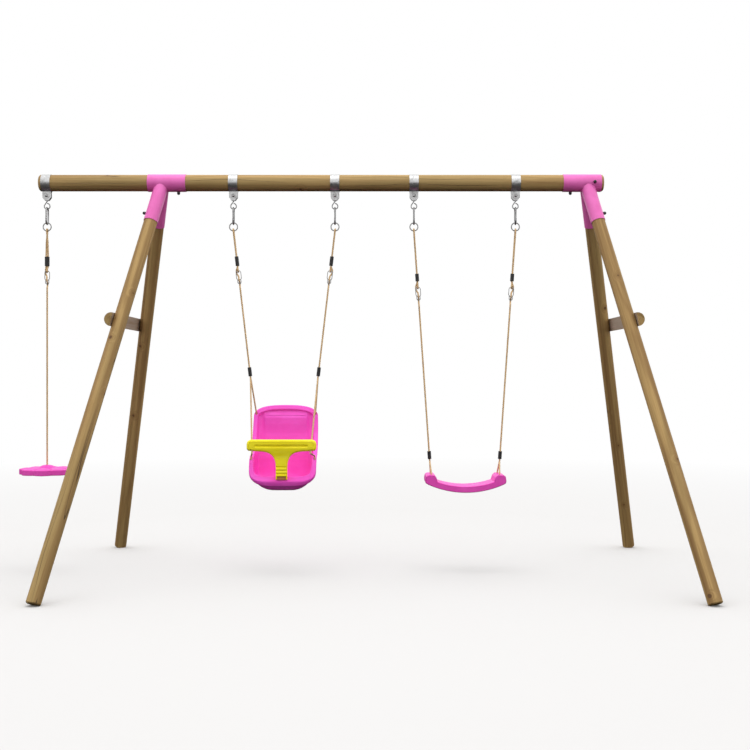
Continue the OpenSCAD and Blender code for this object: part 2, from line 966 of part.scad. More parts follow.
// The tub inside its arched front view
module arched_tub(grow) {
    a = shell_a + grow;
    h = dome_h + grow;
    e = 2 / dome_corner;
    intersection() {
        tub(grow);
        rotate([90, 0, 0])
            linear_extrude(900, center = true)
                polygon(concat(
                    [[a, shell_z0 - 60]],
                    [
                        for (t = [0 : 6 : 180])
                            [a * signed_pow(cos(t), e), dome_z + h * signed_pow(sin(t), e)]
                    ],
                    [[-a, shell_z0 - 60]]
                ));
    }
}

function bezier(p, t) =
    pow(1 - t, 3) * p[0] + 3 * pow(1 - t, 2) * t * p[1] + 3 * (1 - t) * t * t * p[2] + pow(t, 3) * p[3];

// The rim in the side view: down the back's front edge, forwards along the arms and down to the front lip
rim_back = [[132, shell_top], [100, 790], [62, 690], [-28, 652]];
rim_front = [[-28, 652], [-125, 655], [-118, 560], [-190, 508]];
rim_line = concat(
    [for (t = [0 : 0.1 : 0.91]) bezier(rim_back, t)],
    [for (t = [0 : 0.1 : 1.01]) bezier(rim_front, t)]
);

module behind_rim(drop) {
    rotate([90, 0, 90])
        linear_extrude(600, center = true)
            offset(delta = -drop)
                polygon(concat(
                    [[132, shell_top + 60]], rim_line, [[-190, 300], [400, 300], [400, shell_top + 60]]
                ));
}

module baby_seat_shell() {
    color(pink)
        translate([baby_x, 0, 0])
            difference() {
                union() {
                    intersection() {
                        arched_tub(0);
                        behind_rim(0);
                    }
                    intersection() {
                        arched_tub(flange_w);
                        difference() {
                            behind_rim(0);
                            behind_rim(flange_t);
                        }
                    }
                }
                arched_tub(-shell_t);
                both_sides() {
                    translate([$side * front_hole.x, front_hole.y, front_hole.z - hole_reach])
                        cylinder(r = seat_hole_r, h = 2 * hole_reach, $fn = 24);
                    rod(
                        back_at($side) - hole_reach * back_dir($side),
                        back_at($side) + hole_reach * back_dir($side),
                        seat_hole_r
                    );
                }
            }
}

// Where a back rope passes the flange, and its direction there
function back_at(side) = [side * back_hole.x, back_hole.y, back_hole.z];
function apex_at(side) = [side * baby_apex.x, baby_apex.y, baby_apex.z];
function back_dir(side) = (back_at(side) - apex_at(side)) / norm(back_at(side) - apex_at(side));

module baby_seat_ropes() {
    color(rope_tan)
        translate([baby_x, 0, 0])
            both_sides() {
                translate(apex_at($side)) sphere(apex_r);
                bent_rod([
                    apex_at($side),
                    [$side * rope_bend.x, rope_bend.y, rope_bend.z],
                    [$side * front_hole.x, front_hole.y, front_hole.z + 14],
                    [$side * front_hole.x, front_hole.y, front_hole.z - front_knot],
                ], rope_r);
                translate([$side * front_hole.x, front_hole.y, front_hole.z - front_knot])
                    sphere(front_knot_r);
                rod(apex_at($side), back_at($side) + back_knot * back_dir($side), rope_r);
                translate(back_at($side) + back_knot * back_dir($side)) sphere(back_knot_r);
            }
}

// The T-bar's bar in the front view
module bar_outline() {
    for (x = [-1, 1], z = [bar_z0 + bar_corner, bar_z1 - bar_corner])
        translate([x * (bar_w / 2 - bar_corner), z]) circle(bar_corner);
    translate([-bar_w / 2 + bar_corner, bar_z0]) square([bar_w - 2 * bar_corner, bar_z1 - bar_z0]);
    translate([-bar_w / 2, bar_z0 + bar_corner]) square([bar_w, bar_z1 - bar_z0 - 2 * bar_corner]);
}

// Its stem, with hollow fillets up to the bar
module stem_outline() {
    stem_side = stem_w / 2 + stem_fillet;
    translate([-stem_w / 2, stem_z0]) square([stem_w, bar_z0 - stem_z0 + 20]);
    difference() {
        translate([-stem_side, bar_z0 - stem_fillet]) square([2 * stem_side, stem_fillet + 20]);
        for (x = [-1, 1]) translate([x * stem_side, bar_z0 - stem_fillet]) circle(stem_fillet);
    }
}

// The bar rides on the two front ropes: its end slots lie along the ropes, and are long sideways
// because the ropes part as they rise
module baby_t_bar() {
    front = bar_y - bar_depth / 2;
    stem_front = bar_y - stem_depth / 2;
    rope_angle = atan(-(bar_mid.y) / (baby_apex.z - bar_mid.z));
    slot_in = 149.5 + seat_hole_r;
    slot_out = 178 - seat_hole_r;
    groove = [280, 14, 12];
    groove_z = 706;
    rib = [stem_w - 8, 8, 7];
    rib_z = [593, 574, 556];
    window = [stem_w - 12, 20, 18];
    window_z = 535;
    color(yellow)
        translate([baby_x, 0, 0])
            difference() {
                union() {
                    translate([0, bar_y, 0])
                        rotate([90, 0, 0]) linear_extrude(bar_depth, center = true) bar_outline();
                    translate([0, bar_y, 0])
                        rotate([90, 0, 0]) linear_extrude(stem_depth, center = true) stem_outline();
                }
                for (x = [-1, 1])
                    translate([0, bar_mid.y, bar_mid.z])
                        rotate([-rope_angle, 0, 0])
                            linear_extrude(160, center = true) {
                                for (sx = [slot_in, slot_out])
                                    translate([x * sx, 0]) circle(seat_hole_r, $fn = 32);
                                translate([x * (slot_in + slot_out) / 2, 0])
                                    square([slot_out - slot_in, 2 * seat_hole_r], center = true);
                            }
                translate([0, front, groove_z]) cube(groove, center = true);
                for (z = rib_z) translate([0, stem_front, z]) cube(rib, center = true);
                translate([0, stem_front, window_z]) cube(window, center = true);
            }
}

// ---- The swings' hangers ----

module baby_hangers() {
    both_sides() at_pivot(baby_x + $side * hanger_half) children();
}

module single_hangers() {
    both_sides() at_pivot(single_x + $side * hanger_half) children();
}

module baby_lines() {
    both_sides() at_eye(baby_x + $side * hanger_half, $side * baby_lean) children();
}

module single_lines() {
    both_sides() at_eye(single_x + $side * hanger_half, $side * single_lean) children();
}

module baby_ropes() {
    baby_lines() hanging_rope(long_sling, baby_rope_len - rope_stop, $side);
}

module single_ropes() {
    single_lines() hanging_rope(single_sling, single_rope_len - rope_stop, $side);
}

// ---- Nodes ----

placed() beam();
placed() leg(-1, -1);  // leg_front_left
placed() leg(-1, 1);  // leg_back_left
placed() leg(1, -1);  // leg_front_right
placed() leg(1, 1);  // leg_back_right
placed() rotate([0, 0, 180]) bracket();  // bracket_left
placed() bracket();  // bracket_right
placed() bracket_screws();
placed() screw_caps();
placed() brace(-1);  // brace_left
placed() brace(1);  // brace_right
placed() brace_screws();
placed() at_clamp(button_x) clamp();  // button_clamp
placed() both_sides() at_clamp(baby_x + $side * hanger_half) clamp();  // baby_clamps
placed() both_sides() at_clamp(single_x + $side * hanger_half) clamp();  // single_clamps
placed() clamp_bolts();
placed() clamp_nuts();
placed() clamp_bushes();
placed() at_pivot(button_x) link();  // button_link
placed() baby_hangers() link();  // baby_links
placed() single_hangers() link();  // single_links
placed() at_pivot(button_x) hook();  // button_hook
placed() at_pivot(button_x) gate();  // button_gate
placed() at_pivot(button_x) gate_pin();  // button_gate_pin
placed() at_pivot(button_x) ring();  // button_ring
placed() button_rope();
placed() at_eye(button_x, 0) rotate([0, 0, 90]) upper_sleeve(long_sling);  // button_sleeve
placed() at_eye(button_x, 0) adjuster(long_sling);  // button_adjuster
placed() button_seat();
placed() baby_hangers() hook();  // baby_hooks
placed() at_pivot(baby_x - hanger_half) gate();  // baby_gate_left
placed() at_pivot(baby_x + hanger_half) gate();  // baby_gate_right
placed() baby_hangers() gate_pin();  // baby_gate_pins
placed() baby_hangers() ring();  // baby_rings
placed() baby_ropes();
placed() baby_lines() upper_sleeve(long_sling);  // baby_upper_sleeves
placed() baby_lines() adjuster(long_sling);  // baby_adjusters
placed() baby_lines() lower_sleeve(baby_rope_len, baby_low_sleeve);  // baby_lower_sleeves
placed() baby_seat_shell();
placed() baby_seat_ropes();
placed() baby_t_bar();
placed() single_hangers() hook();  // single_hooks
placed() at_pivot(single_x - hanger_half) gate();  // single_gate_left
placed() at_pivot(single_x + hanger_half) gate();  // single_gate_right
placed() single_hangers() gate_pin();  // single_gate_pins
placed() single_hangers() ring();  // single_rings
placed() single_ropes();
placed() single_lines() upper_sleeve(single_sling);  // single_upper_sleeves
placed() single_lines() adjuster(single_sling);  // single_adjusters
placed() single_lines() lower_sleeve(single_rope_len, single_low_sleeve);  // single_lower_sleeves
placed() single_seat();
placed() single_seat_ropes();
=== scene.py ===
import math

import bpy
import numpy as np
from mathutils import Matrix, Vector


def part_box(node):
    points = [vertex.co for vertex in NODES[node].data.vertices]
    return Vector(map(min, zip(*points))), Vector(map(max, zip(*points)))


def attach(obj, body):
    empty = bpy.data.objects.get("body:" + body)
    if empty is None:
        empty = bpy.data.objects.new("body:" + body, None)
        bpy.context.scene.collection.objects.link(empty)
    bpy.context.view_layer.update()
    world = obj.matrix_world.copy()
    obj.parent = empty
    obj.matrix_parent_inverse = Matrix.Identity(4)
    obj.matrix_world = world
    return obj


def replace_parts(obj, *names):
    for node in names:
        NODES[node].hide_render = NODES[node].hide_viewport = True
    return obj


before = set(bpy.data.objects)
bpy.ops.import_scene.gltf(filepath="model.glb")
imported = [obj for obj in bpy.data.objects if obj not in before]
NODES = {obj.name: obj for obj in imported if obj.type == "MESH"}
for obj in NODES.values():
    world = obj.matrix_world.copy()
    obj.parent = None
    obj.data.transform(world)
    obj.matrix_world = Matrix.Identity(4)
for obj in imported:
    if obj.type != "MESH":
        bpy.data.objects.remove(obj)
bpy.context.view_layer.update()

# Looks of a garden swing set. Everything is in the row frame. Lengths inside the shape functions are in
# millimetres, and a mesh is turned to metres when it is made.
MM = 0.001


def box_mm(node):
    """A CAD node's lowest and highest corners in millimetres."""
    low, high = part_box(node)
    return np.array(low) * 1000, np.array(high) * 1000


def half_box_mm(node, side):
    """The same for the part of a node on one side of its middle, -1 for the left and 1 for the right."""
    points = np.array([v.co for v in NODES[node].data.vertices], float) * 1000
    middle = (points[:, 0].min() + points[:, 0].max()) / 2
    points = points[(points[:, 0] - middle) * side > 0]
    return points.min(0), points.max(0)


# ---- Material nodes ----


class Finish:
    """One material under construction. Values are node outputs or plain numbers."""

    def __init__(self, name):
        self.material = bpy.data.materials.new(name)
        self.material.use_nodes = True
        self.tree = self.material.node_tree
        self.shader = next(n for n in self.tree.nodes if n.type == "BSDF_PRINCIPLED")
        self.object_point = self.tree.nodes.new("ShaderNodeTexCoord").outputs["Object"]

    def put(self, socket, value):
        if isinstance(value, bpy.types.NodeSocket):
            self.tree.links.new(value, socket)
        elif value is not None:
            if isinstance(value, (tuple, list)) and len(value) == 3 and socket.type == "RGBA":
                value = (*value, 1.0)
            socket.default_value = value

    def math(self, operation, a, b=None, c=None):
        node = self.tree.nodes.new("ShaderNodeMath")
        node.operation = operation
        for socket, value in zip(node.inputs, (a, b, c)):
            self.put(socket, value)
        return node.outputs[0]

    def vector(self, operation, a, b=None):
        node = self.tree.nodes.new("ShaderNodeVectorMath")
        node.operation = operation
        self.put(node.inputs[0], a)
        self.put(node.inputs[1], b)
        return node.outputs["Value" if operation in ("DOT_PRODUCT", "LENGTH", "DISTANCE") else "Vector"]

    def combine(self, x, y, z):
        node = self.tree.nodes.new("ShaderNodeCombineXYZ")
        for socket, value in zip(node.inputs, (x, y, z)):
            self.put(socket, value)
        return node.outputs[0]

    def separate(self, vector):
        node = self.tree.nodes.new("ShaderNodeSeparateXYZ")
        self.put(node.inputs[0], vector)
        return node.outputs

    def noise(self, vector, scale=1.0, detail=3.0, roughness=0.55, distortion=0.0):
        node = self.tree.nodes.new("ShaderNodeTexNoise")
        self.put(node.inputs["Vector"], vector)
        for name, value in (
            ("Scale", scale), ("Detail", detail), ("Roughness", roughness), ("Distortion", distortion)
        ):
            self.put(node.inputs[name], value)
        return node.outputs["Fac"]

    def cells(self, vector, scale, output="Distance"):
        node = self.tree.nodes.new("ShaderNodeTexVoronoi")
        self.put(node.inputs["Vector"], vector)
        self.put(node.inputs["Scale"], scale)
        return node.outputs[output]

    def random(self, value):
        """Three random numbers for a number."""
        node = self.tree.nodes.new("ShaderNodeTexWhiteNoise")
        node.noise_dimensions = "1D"
        self.put(node.inputs["W"], value)
        return self.separate(node.outputs["Color"])

    def fade(self, value, from_low, from_high, to_low=0.0, to_high=1.0):
        """A smooth step from one value to another."""
        node = self.tree.nodes.new("ShaderNodeMapRange")
        node.interpolation_type = "SMOOTHSTEP"
        for socket, number in zip(node.inputs, (value, from_low, from_high, to_low, to_high)):
            self.put(socket, number)
        return node.outputs[0]

    def mix(self, share, a, b, blend="MIX"):
        node = self.tree.nodes.new("ShaderNodeMix")
        node.data_type = "RGBA"
        node.blend_type = blend
        self.put(node.inputs[0], share)
        self.put(node.inputs[6], a)
        self.put(node.inputs[7], b)
        return node.outputs[2]

    def bevel(self, radius):
        node = self.tree.nodes.new("ShaderNodeBevel")
        node.samples = 4
        self.put(node.inputs["Radius"], radius)
        return node.outputs[0]

    def edge(self, radius):
        """1 on the object's sharp edges and 0 elsewhere."""
        geometry = self.tree.nodes.new("ShaderNodeNewGeometry")
        along = self.vector("DOT_PRODUCT", self.bevel(radius), geometry.outputs["Normal"])
        return self.fade(along, 0.995, 0.9)

    def bump(self, height, distance, strength=1.0, normal=None):
        node = self.tree.nodes.new("ShaderNodeBump")
        self.put(node.inputs["Height"], height)
        self.put(node.inputs["Distance"], distance)
        self.put(node.inputs["Strength"], strength)
        self.put(node.inputs["Normal"], normal)
        return node.outputs[0]

    def done(self, colour, roughness, normal=None, metallic=0.0, **others):
        self.put(self.shader.inputs["Base Color"], colour)
        self.put(self.shader.inputs["Roughness"], roughness)
        self.put(self.shader.inputs["Metallic"], metallic)
        self.put(self.shader.inputs["Normal"], normal)
        for name, value in others.items():
            self.put(self.shader.inputs[name.replace("_", " ")], value)
        return self.material


# ---- Materials ----

WOOD_LIGHT = (0.500, 0.325, 0.125)
WOOD_DARK = (0.235, 0.128, 0.042)
WOOD_OLIVE = (0.36, 0.25, 0.095)
WOOD_KNOT = (0.085, 0.040, 0.016)
WOOD_SAWN = (0.46, 0.36, 0.28)
RING_GAP = 0.0042
KNOT_GAP = 0.34
# Painted shade and painted pink reflection: the amber colour of the T-bar's window pocket
POCKET_SHADE_AMBER = (0.60, 0.26, 0.09)


def pole_axis(node):
    """The middle and the direction of a pole, from its faces."""
    mesh = NODES[node].data
    centres = np.array([p.center for p in mesh.polygons], float)
    areas = np.array([p.area for p in mesh.polygons], float)[:, None]
    middle = (centres * areas).sum(0) / areas.sum()
    spread = ((centres - middle) * areas).T @ (centres - middle)
    direction = np.linalg.eigh(spread)[1][:, -1]
    return middle, direction * (1 if direction[np.abs(direction).argmax()] > 0 else -1)


def flat_side(node):
    """The direction of a node's largest flat face."""
    areas = {}
    for face in NODES[node].data.polygons:
        key = tuple(round(c, 2) for c in face.normal)
        areas[key] = areas.get(key, 0) + face.area
    return max(areas, key=areas.get)


def pine(name, node, radius, seed, sawn=None):
    """Turned pine with growth rings round a wandering pith, knots, fibres, drying cracks and a green cast.
    A face towards sawn is rough and pale."""
    f = Finish(name)
    middle, along = pole_axis(node)
    side = np.cross(along, (0.31, 0.9, 0.2))
    side /= np.linalg.norm(side)
    up = np.cross(along, side)
    point = f.vector("SUBTRACT", f.object_point, tuple(middle))
    u = f.vector("DOT_PRODUCT", point, tuple(along))
    v = f.vector("DOT_PRODUCT", point, tuple(side))
    w = f.vector("DOT_PRODUCT", point, tuple(up))
    grain = f.combine(f.math("ADD", u, seed), v, w)

    # Pith: wanders slowly along the pole
    pith_v = f.math("MULTIPLY_ADD", f.noise(f.combine(u, seed, 0), 0.8, 1), 0.034, -0.012)
    pith_w = f.math("MULTIPLY_ADD", f.noise(f.combine(u, seed, 9), 0.7, 1), 0.034, -0.022)
    off = f.combine(0, f.math("SUBTRACT", v, pith_v), f.math("SUBTRACT", w, pith_w))
    depth = f.vector("LENGTH", off)

    # Knots: one to each length of the pole, at a random place round it
    cell = f.math("FLOOR", f.math("DIVIDE", f.math("ADD", u, seed), KNOT_GAP))
    chance = f.random(f.math("ADD", cell, seed * 7.0))
    share = f.math("MULTIPLY_ADD", chance[0], 0.6, 0.2)
    knot_u = f.math("SUBTRACT", f.math("MULTIPLY", f.math("ADD", cell, share), KNOT_GAP), seed)
    turn = f.math("MULTIPLY", chance[1], 2 * math.pi)
    knot_v = f.math("MULTIPLY", f.math("COSINE", turn), radius)
    knot_w = f.math("MULTIPLY", f.math("SINE", turn), radius)
    away = f.vector("DISTANCE", f.combine(u, v, w), f.combine(knot_u, knot_v, knot_w))
    away = f.math("ADD", away, f.math("MULTIPLY", f.noise(grain, 90.0, 2), 0.003))
    size = f.math("MULTIPLY_ADD", chance[2], 0.007, 0.0045)
    knot = f.fade(f.math("DIVIDE", away, size), 1.25, 0.85)
    halo = f.fade(away, 0.05, 0.004)

    # Growth rings, bent round the knots
    wobble = f.math("MULTIPLY", f.noise(f.vector("MULTIPLY", grain, (1.2, 30.0, 30.0)), 1.0, 3), 0.005)
    depth = f.math("ADD", f.math("ADD", depth, wobble), f.math("MULTIPLY", f.math("POWER", halo, 2.0), 0.012))
    wave = f.math("SINE", f.math("MULTIPLY", depth, 2 * math.pi / RING_GAP))
    rings = f.math("POWER", f.math("MULTIPLY_ADD", wave, 0.5, 0.5), 1.8)
    knot_rings = f.math("MULTIPLY_ADD", f.math("SINE", f.math("MULTIPLY", away, 4200.0)), 0.5, 0.5)

    fibres = f.noise(f.vector("MULTIPLY", grain, (7.0, 420.0, 420.0)), 1.0, 3, 0.7)
    streaks = f.noise(f.vector("MULTIPLY", grain, (0.55, 42.0, 42.0)), 1.0, 3, 0.6)
    broad = f.noise(f.vector("MULTIPLY", grain, (0.4, 21.0, 21.0)), 1.0, 2, 0.5)
    patches = f.noise(f.vector("MULTIPLY", grain, (0.9, 12.0, 12.0)), 1.0, 2)
    crack_line = f.noise(f.vector("MULTIPLY", grain, (1.1, 24.0, 24.0)), 1.0, 1, 0.4, 0.2)
    crack = f.fade(f.math("ABSOLUTE", f.math("SUBTRACT", crack_line, 0.5)), 0.010, 0.001)
    crack = f.math("MULTIPLY", crack, f.fade(patches, 0.52, 0.62))

    colour = f.mix(f.math("MULTIPLY", rings, 0.42), WOOD_LIGHT, WOOD_DARK)
    colour = f.mix(f.fade(patches, 0.38, 0.66, 0.0, 0.75), colour, WOOD_OLIVE)
    colour = f.mix(f.fade(broad, 0.50, 0.66, 0.0, 0.55), colour, WOOD_DARK)
    colour = f.mix(f.fade(streaks, 0.50, 0.72, 0.0, 0.70), colour, WOOD_DARK)
    colour = f.mix(f.fade(fibres, 0.42, 0.75, 0.0, 0.45), colour, WOOD_DARK)
    colour = f.mix(f.math("MULTIPLY", f.math("POWER", halo, 3.0), 0.6), colour, WOOD_DARK)
    colour = f.mix(knot, colour, f.mix(knot_rings, WOOD_KNOT, (0.19, 0.095, 0.036)))
    colour = f.mix(f.math("MULTIPLY", crack, 0.85), colour, (0.05, 0.030, 0.015))
    if sawn is not None:
        geometry = f.tree.nodes.new("ShaderNodeNewGeometry")
        facing = f.vector("DOT_PRODUCT", geometry.outputs["True Normal"], tuple(sawn))
        rough_grain = f.mix(f.fade(fibres, 0.3, 0.7, 0.0, 0.6), WOOD_SAWN, (0.33, 0.235, 0.165))
        rough_grain = f.mix(f.fade(streaks, 0.5, 0.7, 0.0, 0.5), rough_grain, WOOD_DARK)
        colour = f.mix(f.fade(facing, 0.93, 0.97), colour, rough_grain)

    height = f.math("MULTIPLY_ADD", rings, 0.35, f.math("MULTIPLY", fibres, 0.6))
    height = f.math("SUBTRACT", height, f.math("MULTIPLY", crack, 2.0))
    normal = f.bump(height, 0.0009, 0.8)
    return f.done(colour, f.fade(fibres, 0.2, 0.8, 0.58, 0.82), normal, Specular_IOR_Level=0.35)


def powder_coat():
    """Satin powder coat on steel tube: orange peel, faint cloudiness and paler patches along its sharp edges.
    """
    f = Finish("pink_powder_coat")
    peel = f.noise(f.object_point, 900.0, 2)
    cloud = f.noise(f.object_point, 14.0, 3)
    edge = f.math("MULTIPLY", f.edge(0.0016), f.noise(f.object_point, 160.0, 2))
    colour = f.mix(f.fade(cloud, 0.35, 0.7), (0.78, 0.135, 0.470), (0.84, 0.165, 0.530))
    colour = f.mix(f.math("MULTIPLY", edge, 0.6), colour, (0.93, 0.42, 0.74))
    normal = f.bump(peel, 0.00012, 0.7, f.bevel(0.0009))
    return f.done(
        colour, f.fade(cloud, 0.3, 0.7, 0.34, 0.46), normal, Specular_IOR_Level=0.35, Coat_Weight=0.12,
        Coat_Roughness=0.25
    )


def zinc(name, tone):
    """Galvanised steel: grey with faint spangle, stains and rubbed edges. tone scales its brightness."""
    f = Finish(name)

    def grey(*colour):
        return tuple(tone * c for c in colour)

    spangle = f.cells(f.object_point, 220.0, "Color")
    spangle = f.separate(spangle)[0]
    stain = f.noise(f.object_point, 35.0, 4, 0.65)
    scratch = f.noise(f.vector("MULTIPLY", f.object_point, (900.0, 60.0, 300.0)), 1.0, 2)
    colour = f.mix(spangle, grey(0.50, 0.505, 0.51), grey(0.62, 0.625, 0.63))
    colour = f.mix(f.fade(stain, 0.5, 0.75, 0.0, 0.6), colour, grey(0.28, 0.275, 0.27))
    colour = f.mix(f.math("MULTIPLY", f.edge(0.0010), 0.5), colour, grey(0.80, 0.80, 0.80))
    rough = f.math("ADD", f.fade(stain, 0.3, 0.75, 0.26, 0.48), f.math("MULTIPLY", scratch, 0.08))
    normal = f.bump(f.math("ADD", scratch, f.math("MULTIPLY", spangle, 0.4)), 0.00006, 0.6, f.bevel(0.0006))
    return f.done(colour, rough, normal, metallic=1.0)


def nylon():
    """Black nylon with a fine matt grain and grey rub marks on its edges."""
    f = Finish("black_nylon")
    grain = f.noise(f.object_point, 1500.0, 2)
    cloud = f.noise(f.object_point, 60.0, 3)
    colour = f.mix(f.fade(cloud, 0.4, 0.7), (0.008, 0.008, 0.009), (0.017, 0.017, 0.018))
    colour = f.mix(f.math("MULTIPLY", f.edge(0.0012), 0.6), colour, (0.055, 0.055, 0.058))
    normal = f.bump(grain, 0.0001, 0.6, f.bevel(0.0006))
    return f.done(colour, f.fade(cloud, 0.3, 0.7, 0.38, 0.55), normal)


def moulded(name, colour_a, colour_b, pale, shine, shaded_pocket=None):
    """Moulded plastic: a fine pebbled skin, faint flow marks, scuffs and paler rubbed patches. The last
    argument gives the lowest and highest corners of a pocket, in metres, that is tinted amber as painted
    shade and painted pink reflection."""
    f = Finish(name)
    pebble = f.cells(f.object_point, 650.0)
    cloud = f.noise(f.object_point, 9.0, 3)
    flow = f.noise(f.vector("MULTIPLY", f.object_point, (6.0, 22.0, 22.0)), 1.0, 2, 0.5, 0.8)
    scuff = f.noise(f.vector("MULTIPLY", f.object_point, (60.0, 340.0, 120.0)), 1.0, 4, 0.7)
    scuff = f.math("MULTIPLY", f.fade(scuff, 0.60, 0.74), f.fade(cloud, 0.45, 0.65))
    colour = f.mix(f.fade(cloud, 0.35, 0.68), colour_a, colour_b)
    colour = f.mix(f.fade(flow, 0.45, 0.75, 0.0, 0.25), colour, pale)
    colour = f.mix(f.math("MULTIPLY", scuff, 0.30), colour, pale)
    # Painted shade and painted pink reflection: the pocket is tinted amber instead of being lit
    if shaded_pocket is not None:
        inside = 1.0
        for axis, low_side, high_side in zip(f.separate(f.object_point), *shaded_pocket):
            middle, reach = (low_side + high_side) / 2, (high_side - low_side) / 2
            away = f.math("ABSOLUTE", f.math("SUBTRACT", axis, middle))
            inside = f.math("MULTIPLY", inside, f.fade(away, reach, reach - 0.001))
        colour = f.mix(inside, colour, POCKET_SHADE_AMBER)
    rough = f.math("ADD", f.fade(cloud, 0.3, 0.7, 0.40, 0.50), f.math("MULTIPLY", scuff, 0.2))
    normal = f.bump(pebble, 0.00018, 0.45)
    return f.done(colour, rough, normal, Specular_IOR_Level=shine)


def laid_rope():
    """Rope yarn: lines that run round each strand, fuzz and small changes of colour."""
    f = Finish("rope_yarn")
    uv = f.tree.nodes.new("ShaderNodeTexCoord").outputs["UV"]
    u, v, _ = f.separate(uv)
    lay = f.math("ADD", f.math("MULTIPLY", v, 5.0), f.math("MULTIPLY", u, 6.0))
    yarn = f.math("ABSOLUTE", f.math("SINE", f.math("MULTIPLY", lay, math.pi)))
    fuzz = f.noise(f.object_point, 1400.0, 3, 0.7)
    tone = f.noise(f.object_point, 30.0, 3)
    colour = f.mix(f.fade(tone, 0.35, 0.7), (0.80, 0.560, 0.290), (0.72, 0.475, 0.235))
    colour = f.mix(f.fade(yarn, 0.35, 0.0, 0.0, 0.45), colour, (0.48, 0.290, 0.135))
    colour = f.mix(f.fade(fuzz, 0.45, 0.8, 0.0, 0.5), colour, (0.90, 0.710, 0.440))
    height = f.math("ADD", yarn, f.math("MULTIPLY", fuzz, 0.6))
    return f.done(colour, 0.85, f.bump(height, 0.0007, 0.9), Specular_IOR_Level=0.2, Sheen_Weight=0.25)


def wear_material(obj, material):
    """Gives every slot of an object a material."""
    if not obj.material_slots:
        obj.data.materials.append(material)
    for slot in obj.material_slots:
        slot.material = material


# ---- Surfaces from distance fields ----


def surface_net(field, origin, step):
    """The zero surface of a sampled distance field, negative inside, as points and quads."""
    shape = field.shape
    inside = field < 0
    cells, points, quads = [], [], []
    for axis in range(3):
        low = tuple(slice(None, -1) if k == axis else slice(None) for k in range(3))
        high = tuple(slice(1, None) if k == axis else slice(None) for k in range(3))
        start = np.argwhere(inside[low] != inside[high])
        end = start.copy()
        end[:, axis] += 1
        value_start, value_end = field[tuple(start.T)], field[tuple(end.T)]
        crossing = start.astype(float)
        crossing[:, axis] += value_start / (value_start - value_end)
        corners = []
        for du, dv in ((-1, -1), (0, -1), (0, 0), (-1, 0)):
            cell = start.copy()
            cell[:, (axis + 1) % 3] += du
            cell[:, (axis + 2) % 3] += dv
            corners.append(np.ravel_multi_index(cell.T, shape))
            cells.append(corners[-1])
            points.append(crossing)
        quad = np.stack(corners, 1)
        turned = value_start > 0
        quad[turned] = quad[turned][:, ::-1]
        quads.append(quad)
    ids, place = np.unique(np.concatenate(cells), return_inverse=True)
    points = np.concatenate(points)
    count = np.bincount(place)
    vertices = np.stack([np.bincount(place, points[:, k]) / count for k in range(3)], 1)
    faces = np.searchsorted(ids, np.concatenate(quads))
    return vertices * step + origin, faces


def relaxed(vertices, faces, rounds):
    """Vertices after a few rounds of moving halfway to the mean of their neighbours."""
    edges = np.concatenate([faces[:, [k, (k + 1) % 4]] for k in range(4)])
    edges = np.concatenate([edges, edges[:, ::-1]])
    count = np.bincount(edges[:, 0], minlength=len(vertices))[:, None]
    for _ in range(rounds):
        total = np.stack([
            np.bincount(edges[:, 0], vertices[edges[:, 1], k], minlength=len(vertices)) for k in range(3)
        ], 1)
        vertices = vertices + 0.5 * (total / count - vertices)
    return vertices


def grid(low, high, step):
    """Three open coordinate arrays that cover a box in millimetres with a margin, and the origin."""
    low, high = np.array(low, float) - 3 * step, np.array(high, float) + 3 * step
    axes = [low[k] + step * np.arange(int(math.ceil((high[k] - low[k]) / step)) + 1) for k in range(3)]
    return axes[0][:, None, None], axes[1][None, :, None], axes[2][None, None, :], low


def rounded(a, b, radius):
    """Distance to the common part of two solids, with the edge between them rounded."""
    a, b = a + radius, b + radius
    return np.minimum(np.maximum(a, b), 0) + np.hypot(np.maximum(a, 0), np.maximum(b, 0)) - radius


def soft_max(a, b, k):
    h = np.maximum(k - np.abs(a - b), 0) / k
    return np.maximum(a, b) + h * h * k / 4


def soft_min(a, b, k):
    return -soft_max(-a, -b, k)


def step_up(value, low, high):
    t = np.clip((value - low) / (high - low), 0, 1)
    return t * t * (3 - 2 * t)


def polygon_distance(x, z, points):
    """Distance from every (x, z) to a closed polygon, negative inside."""
    x, z = np.broadcast_arrays(np.asarray(x, float), np.asarray(z, float))
    best = np.full(x.shape, 1e18)
    inside = np.zeros(x.shape, bool)
    for (ax, az), (bx, bz) in zip(points, points[1:] + points[:1]):
        ex, ez = bx - ax, bz - az
        length = ex * ex + ez * ez
        if length == 0:
            continue
        t = np.clip(((x - ax) * ex + (z - az) * ez) / length, 0, 1)
        best = np.minimum(best, (x - ax - t * ex) ** 2 + (z - az - t * ez) ** 2)
        if az != bz:
            crosses = (az > z) != (bz > z)
            inside ^= crosses & (x < ex * (z - az) / ez + ax)
    return np.where(inside, -1, 1) * np.sqrt(best)


def stadium(x, z, half_x, half_z):
    """Distance to a flat bar with round ends, long in x."""
    return np.hypot(np.maximum(np.abs(x) - half_x + half_z, 0), z) - half_z


def add_mesh(name, vertices, faces, material, smooth=True):
    """A mesh object from points in millimetres in the row frame."""
    mesh = bpy.data.meshes.new(name)
    mesh.from_pydata((np.asarray(vertices) * MM).tolist(), [], [list(map(int, f)) for f in faces])
    mesh.polygons.foreach_set("use_smooth", [smooth] * len(mesh.polygons))
    mesh.materials.append(material)
    obj = bpy.data.objects.new(name, mesh)
    bpy.context.scene.collection.objects.link(obj)
    return obj


def solid(name, field, origin, step, centre, material, rounds=3):
    vertices, faces = surface_net(field, origin, step)
    vertices = relaxed(vertices, faces, rounds)
    return add_mesh(name, vertices + np.array(centre), faces, material)


# ---- Baby seat ----

